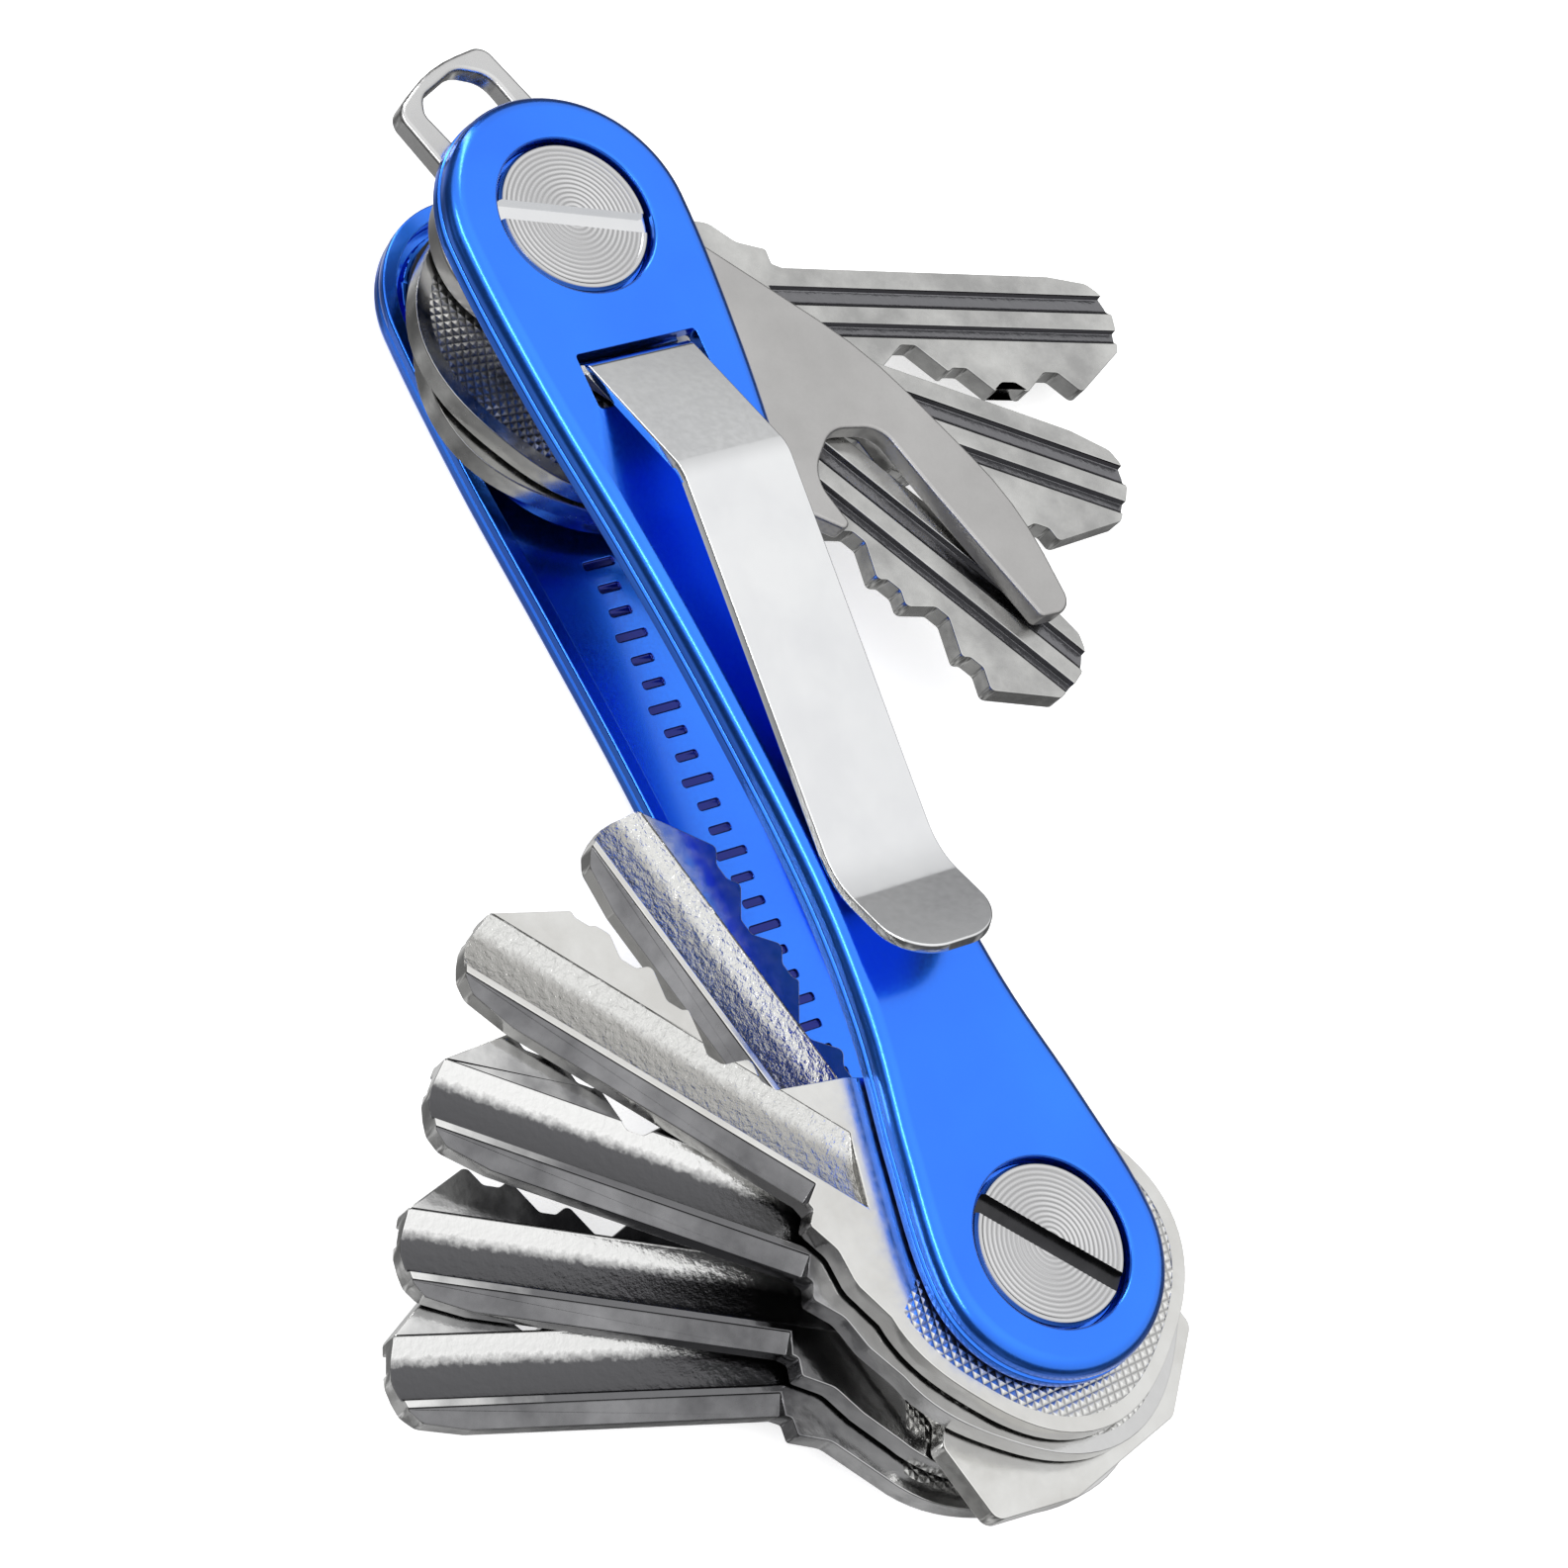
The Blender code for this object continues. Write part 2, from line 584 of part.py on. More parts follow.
def build_key(key):
    """One key on its post, fanned out to its angle."""
    body = sheet(key_outline(key), [circle(PIVOT_HOLE, 24)], 0.0, KEY_THICKNESS)
    obj = finish_object(key.name, body, "nickel_key")
    place(obj, key.post, layer_bottom(key.layer), key.angle)
    for cutter in milling_cutters(key):
        place(cutter, key.post, layer_bottom(key.layer), key.angle)
        cut(obj, cutter)
    return obj


def build_tool(name, outline, holes, layer, angle, material_name):
    """A flat tool on the loop-end post."""
    body = sheet(rounded(outline, 12.0), holes + [circle(PIVOT_HOLE, 24)], 0.0, KEY_THICKNESS)
    obj = finish_object(name, body, material_name)
    return place(obj, LOOP_END, layer_bottom(layer), angle)


def build_all():
    """Model every sub-part."""
    remove_startup_objects()
    front = build_plate("front_plate", "blue_anodised", FRONT_WAIST, True)
    cut(front, build_window_cutter())
    build_plate("back_plate", "blue_anodised_back", BACK_WAIST, False)
    build_clip()
    for label, post, slot_angle in (("loop_end", LOOP_END, LOOP_SLOT_ANGLE),
                                    ("key_end", KEY_END, KEY_SLOT_ANGLE)):
        build_post(label + "_post", post)
        build_screw(label + "_screw", post, slot_angle)
        build_washer(label + "_front_washer", post, True)
        build_washer(label + "_back_washer", post, False)
    build_tool("fob_loop", FOB_LOOP_OUTLINE, [rounded(FOB_LOOP_EYE)], 1, FOB_LOOP_ANGLE,
               "polished_steel")
    build_tool("bottle_opener", OPENER_OUTLINE, [], 2, OPENER_ANGLE, "blasted_steel")
    for key in KEYS:
        build_key(key)


build_all()
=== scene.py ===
# %% [markdown]
# # A key organiser in a small studio
#
# The organiser is a stack: two blue anodised plates on a screwed post at each end, with keys, a
# bottle opener and a fob loop fanned out between them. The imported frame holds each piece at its
# real size and place. This lesson replaces the plain pieces with finely edged ones, gives each the
# finish that the real one has, and sets up a small studio.

# %% Load the frame
import json
import math

import bmesh
import bpy
from mathutils import Matrix, Vector


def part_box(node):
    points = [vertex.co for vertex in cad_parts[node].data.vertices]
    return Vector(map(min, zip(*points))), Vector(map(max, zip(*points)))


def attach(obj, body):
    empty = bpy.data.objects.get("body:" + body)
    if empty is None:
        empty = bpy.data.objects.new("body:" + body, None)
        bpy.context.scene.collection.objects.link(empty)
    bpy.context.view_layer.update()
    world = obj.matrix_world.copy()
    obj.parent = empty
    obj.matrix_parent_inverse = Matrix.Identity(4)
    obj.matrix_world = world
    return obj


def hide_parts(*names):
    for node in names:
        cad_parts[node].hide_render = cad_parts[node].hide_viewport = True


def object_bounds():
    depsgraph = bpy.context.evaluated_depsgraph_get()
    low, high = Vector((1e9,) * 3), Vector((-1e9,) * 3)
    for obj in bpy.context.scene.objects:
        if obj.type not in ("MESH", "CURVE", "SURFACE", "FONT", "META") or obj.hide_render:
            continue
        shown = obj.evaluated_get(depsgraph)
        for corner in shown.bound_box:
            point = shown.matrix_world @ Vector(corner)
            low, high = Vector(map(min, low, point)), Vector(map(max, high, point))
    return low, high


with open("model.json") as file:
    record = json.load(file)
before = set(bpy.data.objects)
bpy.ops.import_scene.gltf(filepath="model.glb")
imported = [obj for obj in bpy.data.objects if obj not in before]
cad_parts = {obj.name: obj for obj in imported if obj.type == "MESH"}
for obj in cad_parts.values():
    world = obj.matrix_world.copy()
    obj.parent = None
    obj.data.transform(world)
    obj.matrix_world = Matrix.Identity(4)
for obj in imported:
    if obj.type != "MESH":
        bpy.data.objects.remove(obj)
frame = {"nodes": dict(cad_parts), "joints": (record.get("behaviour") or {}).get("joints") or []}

cad_low, cad_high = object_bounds()
MM = 0.001
pivots = {joint["child"]: Vector(joint["pos_m"]) for joint in frame["joints"]}
print("CAD box in mm:", [round(high / MM - low / MM, 1) for low, high in zip(cad_low, cad_high)])

# %% [markdown]
# ## Driving sizes
#
# The two posts' places and the heights of the layers come from the frame. The other sizes are the
# ones a drawing of the organiser would give, in millimetres.

# %% Sizes read from the frame
LOOP_END = pivots["loop_end_screw"].x / MM
KEY_END = pivots["key_end_screw"].x / MM
POST_SPACING = KEY_END - LOOP_END
TOTAL_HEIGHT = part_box("front_plate")[1].z / MM
PLATE_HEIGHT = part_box("back_plate")[1].z / MM
LAYER_THICKNESS = (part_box("fob_loop")[1].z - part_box("fob_loop")[0].z) / MM
print("posts", POST_SPACING, "mm apart; stack", round(TOTAL_HEIGHT, 2), "mm thick")

# %% [markdown]
# ## Colours and nodes
#
# Colours are picked on a screen as sRGB hex values, but a shader works with linear light, so one
# function turns the first into the second. A second function adds a node with its settings and
# links, so that each material below reads as a recipe.

# %% Colour and node helpers
def linear(hex_colour):
    """An sRGB hex colour such as '#2b7cf7' as linear RGBA."""
    channels = [int(hex_colour[i:i + 2], 16) / 255 for i in (1, 3, 5)]
    return (*[c / 12.92 if c <= 0.04045 else ((c + 0.055) / 1.055) ** 2.4 for c in channels], 1.0)


def add(material, kind, inputs=(), **settings):
    """Add a node; an input is a value, or a (node, output name) to link from."""
    tree = material.node_tree
    node = tree.nodes.new("ShaderNode" + kind)
    for name, value in settings.items():
        setattr(node, name, value)
    for name, value in dict(inputs).items():
        if isinstance(value, tuple) and isinstance(value[0], bpy.types.Node):
            tree.links.new(value[0].outputs[value[1]], node.inputs[name])
        else:
            node.inputs[name].default_value = value
    return node


def new_material(name):
    """A new material and its shader."""
    material = bpy.data.materials.new(name)
    material.use_nodes = True
    shader = material.node_tree.nodes["Principled BSDF"]
    return material, shader


def link(material, node, output, shader, socket):
    """Join one output to one of the shader's sockets."""
    material.node_tree.links.new(node.outputs[output], shader.inputs[socket])


def ramp(material, source, output, *stops):
    """A colour ramp with (place, colour) stops, driven by a grey value."""
    node = add(material, "ValToRGB", {"Fac": (source, output)})
    while len(node.color_ramp.elements) < len(stops):
        node.color_ramp.elements.new(0.5)
    for element, (place, colour) in zip(node.color_ramp.elements, stops):
        element.position = place
        element.color = colour if isinstance(colour, tuple) else (colour, colour, colour, 1.0)
    return node


PER_METRE = 1000.0      # a pattern of scale PER_METRE / size repeats about every size millimetres
WAVE = 2 * math.pi / 20     # a wave texture of scale 1 repeats at this length
print("linear mid grey:", [round(c, 3) for c in linear("#808080")])

# %% [markdown]
# ## Anodised aluminium
#
# The plates are machined aluminium, lightly blasted and dyed while they are anodised. The dyed
# oxide is clear and hard, so the metal under it colours what it reflects, and the sealed top adds
# a thin, uncoloured gloss of its own. That second gloss is what turns the rounded shoulder pale.

# %% Anodised aluminium
def anodised_aluminium(name, light, deep):
    """Dyed oxide over blasted metal, with a faint cloudiness in the dye and a fine blasted grain."""
    material, shader = new_material(name)
    place = add(material, "TexCoord")
    cloud = add(material, "TexNoise", {"Vector": (place, "Object"), "Scale": PER_METRE / 14.0,
                                       "Detail": 3.0})
    dye = ramp(material, cloud, "Fac", (0.35, linear(deep)), (0.65, linear(light)))
    grit = add(material, "TexNoise", {"Vector": (place, "Object"), "Scale": PER_METRE / 0.25,
                                      "Detail": 2.0})     # drawn coarser than the real 0.05 mm grit
    sheen = ramp(material, grit, "Fac", (0.3, 0.20), (0.7, 0.27))
    bump = add(material, "Bump", {"Height": (grit, "Fac"), "Strength": 0.06, "Distance": 0.02 * MM})
    shader.inputs["Metallic"].default_value = 1.0
    shader.inputs["Coat Weight"].default_value = 0.6
    shader.inputs["Coat Roughness"].default_value = 0.12
    link(material, dye, "Color", shader, "Base Color")
    link(material, sheen, "Color", shader, "Roughness")
    link(material, bump, "Normal", shader, "Normal")
    return material


plate_blue = anodised_aluminium("anodised_aluminium_blue", "#2a80ff", "#2677fb")
inlay_blue = anodised_aluminium("anodised_aluminium_engraved", "#0a1f86", "#081a72")
print("made", plate_blue.name)

# %% [markdown]
# ## Steels
#
# Each steel is told apart by how its surface was made: the clip is polished, the fob loop is
# tumbled, the opener is bead blasted and the screws are faced on a lathe. All of them start from
# the same pale grey metal, with different roughness and a different fine pattern.

# %% Polished, tumbled and blasted steel
def worked_steel(name, light, dark, rough_low, rough_high, grain_mm, depth_mm, cloud_mm=9.0):
    """Steel with a soft cloud of tone and a fine grain that also breaks up its gloss."""
    material, shader = new_material(name)
    place = add(material, "TexCoord")
    cloud = add(material, "TexNoise", {"Vector": (place, "Object"), "Scale": PER_METRE / cloud_mm,
                                       "Detail": 5.0, "Roughness": 0.6})
    tone = ramp(material, cloud, "Fac", (0.35, linear(dark)), (0.65, linear(light)))
    grain = add(material, "TexNoise", {"Vector": (place, "Object"), "Scale": PER_METRE / grain_mm,
                                       "Detail": 3.0})
    gloss = ramp(material, grain, "Fac", (0.35, rough_low), (0.65, rough_high))
    bump = add(material, "Bump", {"Height": (grain, "Fac"), "Strength": 0.6,
                                  "Distance": depth_mm * MM})
    shader.inputs["Metallic"].default_value = 1.0
    link(material, tone, "Color", shader, "Base Color")
    link(material, gloss, "Color", shader, "Roughness")
    link(material, bump, "Normal", shader, "Normal")
    return material


clip_steel = worked_steel("polished_spring_steel", "#e4e5e6", "#dcdddf", 0.10, 0.15, 0.5, 0.0008)
loop_steel = worked_steel("tumbled_steel", "#c9c9c9", "#bdbdbd", 0.20, 0.30, 0.4, 0.004)
opener_steel = worked_steel("bead_blasted_steel", "#b9b8b7", "#adacab", 0.30, 0.42, 0.28, 0.008)
edge_steel = worked_steel("sheared_steel_edge", "#8d8d8f", "#5f5f61", 0.16, 0.30, 0.6, 0.006)
# Near-black steel for the key-end screw's slot floor: painted shade in the slot.
slot_painted_shade = worked_steel("slot_floor_painted_shade", "#4a4a4c", "#2e2e30", 0.20, 0.34, 0.6, 0.006)
print("made five steels")

# %% [markdown]
# The lathe's tool leaves a fine spiral on the screws' heads. The rings that can be seen are cut
# into the mesh further down. The material adds the much finer marks between them: a wave texture
# in rings about the screw's own axis, which is why each screw keeps its origin there.

# %% Face-turned steel
def faced_steel(name):
    """Lathe-faced steel: fine rings about the object's Z axis."""
    material, shader = new_material(name)
    place = add(material, "TexCoord")
    rings = add(material, "TexWave", {"Vector": (place, "Object"), "Scale": PER_METRE * WAVE / 0.37,
                                      "Distortion": 0.4, "Detail": 1.0},
                wave_type="RINGS", rings_direction="Z")
    tone = ramp(material, rings, "Fac", (0.0, linear("#a9a9aa")), (1.0, linear("#cfcfd0")))
    gloss = ramp(material, rings, "Fac", (0.0, 0.18), (1.0, 0.28))
    shader.inputs["Metallic"].default_value = 1.0
    shader.inputs["Anisotropic"].default_value = 0.5
    link(material, tone, "Color", shader, "Base Color")
    link(material, gloss, "Color", shader, "Roughness")
    return material


screw_steel = faced_steel("face_turned_steel")
print("made", screw_steel.name)

# %% [markdown]
# ## Nickel-plated brass
#
# A key blank is stamped from brass, plated with nickel and then milled, so it shows three finishes:
# a bright plated face, a grainy milled floor in the groove, and a knurled field on the bow. The
# knurl is two sets of parallel lines that cross: two wave textures, the deeper one winning.

# %% Key finishes
def plated_nickel(name, light, dark, rough_low, rough_high):
    """Smooth plating with handling marks, a little yellower where it is thin."""
    return worked_steel(name, light, dark, rough_low, rough_high, 0.9, 0.004, 6.0)


REFLECTION_DRIFT = 14.0       # how far the orange peel shifts the edge of the painted dark reflection
REFLECTION_START = -12.0      # where along the key the tones start and end
REFLECTION_END = 52.0


def painted_reflection_plating(name):
    """Painted reflection: dark along the middle of the blade and pale again at the tip, with an
    orange-peel skin.
    """
    material, shader = new_material(name)
    place = add(material, "TexCoord")
    along = add(material, "SeparateXYZ", {"Vector": (place, "Object")})
    peel = add(material, "TexNoise", {"Vector": (place, "Object"), "Scale": PER_METRE / 2.6,
                                      "Detail": 4.0})
    moved = add(material, "Math", {0: (peel, "Fac"), 1: REFLECTION_DRIFT * MM, 2: (along, "X")},
                operation="MULTIPLY_ADD")
    reflection_place = add(material, "MapRange", {"Value": (moved, "Value"), "From Min": REFLECTION_START * MM,
                                      "From Max": REFLECTION_END * MM})
    # painted reflection: pale by the bow, dark along the blade, pale again towards the tip
    tone = ramp(material, reflection_place, "Result", (0.30, linear("#c9c9c9")), (0.48, linear("#a2a2a3")),
                (0.54, linear("#6e6e70")), (0.80, linear("#6a6a6c")), (0.90, linear("#b4b4b4")),
                (0.98, linear("#dededd")))
    bump = add(material, "Bump", {"Height": (peel, "Fac"), "Strength": 0.5, "Distance": 0.15 * MM})
    shader.inputs["Metallic"].default_value = 1.0
    shader.inputs["Roughness"].default_value = 0.16
    link(material, tone, "Color", shader, "Base Color")
    link(material, bump, "Normal", shader, "Normal")
    return material


PIT_DRIFT = 0.9         # how far the pits shift the edge between wall and floor
SHEEN_END = 0.75         # where across the blade the painted bright reflection on the wall ends, before the drift
FLOOR_START = 1.5
NO_SHEEN = -20.0         # an offset that leaves the whole groove to the floor's tone


def groove_painted_sheen(name, offset, wall_painted_sheen, floor, pit_mm, pit_depth_mm):
    """A groove across Y: a painted bright reflection on the wall at the bit side, then a pitted floor in a
    darker tone.
    """
    material, shader = new_material(name)
    place = add(material, "TexCoord")
    across = add(material, "SeparateXYZ", {"Vector": (place, "Object")})
    pits = add(material, "TexNoise", {"Vector": (place, "Object"), "Scale": PER_METRE / pit_mm,
                                      "Detail": 3.0, "Roughness": 0.6})
    moved = add(material, "Math", {0: (pits, "Fac"), 1: PIT_DRIFT * MM, 2: (across, "Y")},
                operation="MULTIPLY_ADD")
    depth = add(material, "MapRange", {"Value": (moved, "Value"),
                                       "From Min": (offset + SHEEN_END) * MM,
                                       "From Max": (offset + FLOOR_START) * MM})
    # painted reflection: bright across the wall on the bit side, fading into the floor's tone
    tone = ramp(material, depth, "Result", (0.0, linear(wall_painted_sheen)), (1.0, linear(floor)))
    bump = add(material, "Bump", {"Height": (pits, "Fac"), "Strength": 1.0,
                                  "Distance": pit_depth_mm * MM})
    shader.inputs["Metallic"].default_value = 1.0
    shader.inputs["Roughness"].default_value = 0.22
    link(material, tone, "Color", shader, "Base Color")
    link(material, bump, "Normal", shader, "Normal")
    return material


def knurled_nickel(name, light, dark, pitch_mm):
    """Crossed knurling lines, raised as small pyramids, with painted shade darkening the valleys between
    them.
    """
    material, shader = new_material(name)
    place = add(material, "TexCoord")
    waves = []
    for turn in (38.0, -38.0):
        turned_place = add(material, "Mapping", {"Vector": (place, "Object"),
                                                 "Rotation": (0.0, 0.0, math.radians(turn))})
        waves.append(add(material, "TexWave", {"Vector": (turned_place, "Vector"),
                                               "Scale": PER_METRE * WAVE / pitch_mm,
                                               "Distortion": 0.0},
                         wave_type="BANDS", bands_direction="X", wave_profile="TRI"))
    crossed = add(material, "Math", {0: (waves[0], "Fac"), 1: (waves[1], "Fac")}, operation="MINIMUM")
    # painted shade: the tone follows the knurl's height, darker down in the valleys
    tone = ramp(material, crossed, "Value", (0.05, linear(dark)), (0.55, linear(light)))
    bump = add(material, "Bump", {"Height": (crossed, "Value"), "Strength": 0.9,
                                  "Distance": 0.07 * MM})
    shader.inputs["Metallic"].default_value = 1.0
    shader.inputs["Roughness"].default_value = 0.24
    link(material, tone, "Color", shader, "Base Color")
    link(material, bump, "Normal", shader, "Normal")
    return material


bright_nickel = plated_nickel("plated_nickel_bright", "#d9d9d7", "#cbcac7", 0.14, 0.24)
satin_nickel = plated_nickel("plated_nickel_satin", "#cbcbc9", "#a3a3a2", 0.16, 0.28)
# Key plating with a painted dark reflection along the blade and a painted pale tip.
nickel_painted_reflection = painted_reflection_plating("plated_nickel_painted_reflection")
twin_floor = groove_painted_sheen("milled_nickel_twin", NO_SHEEN, "#8b8b8c", "#77777a", 0.8, 0.05)
# The knurl's valleys are painted darker as shade.
knurl_shaded_valleys = knurled_nickel("knurled_nickel_shaded_valleys", "#dededc", "#a2a2a1", 0.58)
print("made the key finishes")

# %% [markdown]
# ## Moulded nylon
#
# The friction washers are moulded nylon, black and slightly waxy, with the fine spark-eroded
# texture of their mould. The floor is matt paper. It glows a little, so that it stays white while
# the lights on the metal are kept low.

# %% Moulded nylon and the floor's paper
def moulded_nylon(name):
    """Matt black nylon with a spark-eroded grain."""
    material, shader = new_material(name)
    place = add(material, "TexCoord")
    grain = add(material, "TexNoise", {"Vector": (place, "Object"), "Scale": PER_METRE / 0.35,
                                       "Detail": 2.0})
    tone = ramp(material, grain, "Fac", (0.3, linear("#141416")), (0.7, linear("#202124")))
    bump = add(material, "Bump", {"Height": (grain, "Fac"), "Strength": 0.4, "Distance": 0.01 * MM})
    shader.inputs["Roughness"].default_value = 0.5
    shader.inputs["IOR"].default_value = 1.53
    link(material, tone, "Color", shader, "Base Color")
    link(material, bump, "Normal", shader, "Normal")
    return material


def backdrop_paper(name):
    """Pale paper, with hardly any tooth."""
    material, shader = new_material(name)
    place = add(material, "TexCoord")
    tooth = add(material, "TexNoise", {"Vector": (place, "Object"), "Scale": 40.0})
    tone = ramp(material, tooth, "Fac", (0.3, linear("#f7f7f7")), (0.7, linear("#fafafa")))
    shader.inputs["Roughness"].default_value = 0.9
    shader.inputs["Emission Strength"].default_value = 0.62
    link(material, tone, "Color", shader, "Base Color")
    link(material, tone, "Color", shader, "Emission Color")
    return material


washer_nylon = moulded_nylon("moulded_nylon_black")
paper = backdrop_paper("backdrop_paper")
print("made", washer_nylon.name, "and", paper.name)

# %% [markdown]
# ## Shaping helpers
#
# Nearly everything here is either a flat sheet with an outline, or turned on a lathe. An outline is
# a few corners, each rounded by an arc of its own radius, as on a drawing.

# %% Outlines
def circle(radius, count=96, centre=(0.0, 0.0)):
    """Points of a circle."""
    turns = [2 * math.pi * i / count for i in range(count)]
    return [(centre[0] + radius * math.cos(t), centre[1] + radius * math.sin(t)) for t in turns]


def rounded(corners, degrees_per_step=6.0):
    """A closed outline through (x, y, radius) corners, each rounded by an arc."""
    corners = [c for i, c in enumerate(corners) if math.dist(c[:2], corners[i - 1][:2]) > 0.01]
    points = []
    for i, (x, y, radius) in enumerate(corners):
        here = Vector((x, y))
        to_last = Vector(corners[i - 1][:2]) - here
        to_next = Vector(corners[(i + 1) % len(corners)][:2]) - here
        room = 0.49 * min(to_last.length, to_next.length)
        to_last.normalize()
        to_next.normalize()
        half = to_last.angle(to_next) / 2
        turn = math.pi - 2 * half
        if radius <= 0 or turn < math.radians(2):
            points.append((x, y))
            continue
        setback = min(radius / math.tan(half), room)
        radius = setback * math.tan(half)
        centre = here + (to_last + to_next).normalized() * (radius / math.sin(half))
        start = here + to_last * setback - centre
        side = 1.0 if to_last.x * to_next.y - to_last.y * to_next.x < 0 else -1.0
        steps = max(1, round(math.degrees(turn) / degrees_per_step))
        for k in range(steps + 1):
            swung = Matrix.Rotation(side * turn * k / steps, 2) @ start
            points.append((centre.x + swung.x, centre.y + swung.y))
    return points


print("a circle has", len(circle(1.0)), "points")

# %% [markdown]
# An outline can become a solid in three ways. A sheet is a filled outline that is extruded, a
# turned piece is rings joined from bottom to top, and a loft joins outlines at different heights,
# which suits the plates' rounded sides.

# %% Solids
def new_object(name, bm, material):
    """An object from a bmesh drawn in millimetres."""
    bmesh.ops.remove_doubles(bm, verts=bm.verts, dist=1e-4)
    bmesh.ops.recalc_face_normals(bm, faces=bm.faces)
    bmesh.ops.transform(bm, matrix=Matrix.Scale(MM, 4), verts=bm.verts)
    mesh = bpy.data.meshes.new(name)
    bm.to_mesh(mesh)
    bm.free()
    obj = bpy.data.objects.new(name, mesh)
    bpy.context.scene.collection.objects.link(obj)
    mesh.materials.append(material)
    return obj


def loft(loops):
    """A closed solid through (outline, z) loops with the same number of points."""
    bm = bmesh.new()
    rings = [[bm.verts.new((x, y, z)) for x, y in outline] for outline, z in loops]
    for low, high in zip(rings, rings[1:]):
        for i in range(len(low)):
            j = (i + 1) % len(low)
            bm.faces.new((low[i], low[j], high[j], high[i]))
    bm.faces.new(rings[0])
    bm.faces.new(rings[-1])
    return bm


def sheet(outline, holes, z, thickness):
    """A flat sheet with through holes, standing on z."""
    bm = bmesh.new()
    edges = []
    for loop in [outline, *holes]:
        ring = [bm.verts.new((x, y, z)) for x, y in loop]
        edges += [bm.edges.new((ring[i - 1], ring[i])) for i in range(len(ring))]
    bmesh.ops.triangle_fill(bm, use_beauty=True, edges=edges, normal=(0.0, 0.0, 1.0))
    bmesh.ops.dissolve_limit(bm, angle_limit=0.01, verts=[], edges=list(bm.edges))
    top = bmesh.ops.extrude_face_region(bm, geom=list(bm.faces))
    raised = [v for v in top["geom"] if isinstance(v, bmesh.types.BMVert)]
    bmesh.ops.translate(bm, verts=raised, vec=(0.0, 0.0, thickness))
    return bm


def turned(profile, segments=96):
    """A solid turned about Z from its (radius, z) profile, listed from bottom to top."""
    bm = bmesh.new()
    rings = []
    for radius, z in profile:
        if radius == 0.0:
            rings.append([bm.verts.new((0.0, 0.0, z))])
        else:
            rings.append([bm.verts.new((x, y, z)) for x, y in circle(radius, segments)])
    for low, high in zip(rings, rings[1:]):
        for i in range(segments):
            j = (i + 1) % segments
            corners = [low[i % len(low)], low[j % len(low)], high[j % len(high)], high[i % len(high)]]
            bm.faces.new(list(dict.fromkeys(corners)))
    for ring in (rings[0], rings[-1]):
        if len(ring) > 1:
            bm.faces.new(ring)
    return bm


print("solids: loft, sheet and turned")

# %% [markdown]
# A real metal edge always has a small round on it, and that round is what catches the light. So a piece is
# finished in one go: cuts first, then a bevel on every sharp edge, then smooth shading whose normals are
# weighted by face area, which keeps flat faces flat right up to the bevel. The cuts and the bevel are
# applied to the mesh, and the weighted normals are left as a modifier.

# %% Cutting and finishing
LEVEL = 0.9999          # a face whose normal is this close to Z is flat, and is shaded flat


def cut(obj, cutter):
    """Subtract a cutter, whose own material marks the faces that it leaves."""
    boolean = obj.modifiers.new("cut", "BOOLEAN")
    boolean.operation = "DIFFERENCE"
    boolean.object = cutter
    boolean.solver = "MANIFOLD"
    boolean.material_mode = "TRANSFER"


def finish_piece(obj, bevel_mm=0.12, segments=3, limit=28.0, split=32.0, inlays=()):
    """Apply the cuts, round the edges, sink any shallow inlays and smooth the shading."""
    if bevel_mm:
        bevel = obj.modifiers.new("edge", "BEVEL")
        bevel.width = bevel_mm * MM
        bevel.segments = segments
        bevel.limit_method = "ANGLE"
        bevel.angle_limit = math.radians(limit)
        bevel.use_clamp_overlap = False
        bevel.loop_slide = False
    for inlay in inlays:
        cut(obj, inlay)
    cutters = [m.object for m in obj.modifiers if m.type == "BOOLEAN"]
    depsgraph = bpy.context.evaluated_depsgraph_get()
    made = bpy.data.meshes.new_from_object(obj.evaluated_get(depsgraph))
    obj.modifiers.clear()
    old = obj.data
    obj.data = made
    made.name = old.name
    bpy.data.meshes.remove(old)
    for cutter in cutters:
        bpy.data.objects.remove(cutter)
    made.shade_smooth()
    for polygon in made.polygons:
        if abs(polygon.normal.z) > LEVEL:
            polygon.use_smooth = False
    made.set_sharp_from_angle(angle=math.radians(split))
    weighted = obj.modifiers.new("normals", "WEIGHTED_NORMAL")
    weighted.keep_sharp = True


def fit(obj, body, node, x=0.0, z=0.0, angle=0.0):
    """Put a piece on its post's axis, join it to its body and let it stand for its node."""
    obj.location = (x * MM, 0.0, z * MM)
    obj.rotation_euler = (0.0, 0.0, math.radians(angle))
    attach(obj, body)
    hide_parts(node)
    low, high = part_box(node)
    print(obj.name, "for", node, "of", [round(v / MM, 1) for v in high - low], "mm")


print("finishing helpers ready")

# %% [markdown]
# ## The plates
#
# Both plates are one section swept round a waisted outline: a thin lip at the inside, a groove, and
# a big rounded shoulder up to the flat face. The section is lofted, the shallow tray inside is cut
# with bosses left standing, and each end is bored for its screw head.

# %% Plate outline and section
# (distance from the loop-end post, half width) of each plate's waisted side
FRONT_WAIST = ((0.0, 9.7), (12.0, 8.9), (24.0, 7.3), (36.0, 6.1), (50.0, 5.4), (60.0, 6.1),
               (69.0, 7.9), (POST_SPACING, 9.2))
BACK_WAIST = ((0.0, 8.6), (12.0, 8.1), (24.0, 7.0), (36.0, 6.0), (50.0, 5.4), (60.0, 6.1),
              (69.0, 7.9), (POST_SPACING, 9.2))
SHOULDER = 1.2          # radius of the rounded shoulder
LIP_HEIGHT = 0.8
GROOVE_INSET = 0.25
EDGE_BREAK = 0.1
WEB = 1.2               # thickness left under the tray
RIM = 1.1
BOSS_RADIUS = 6.8
BOSS_DEPTH = 2.05       # from the outer face to the washer's pocket
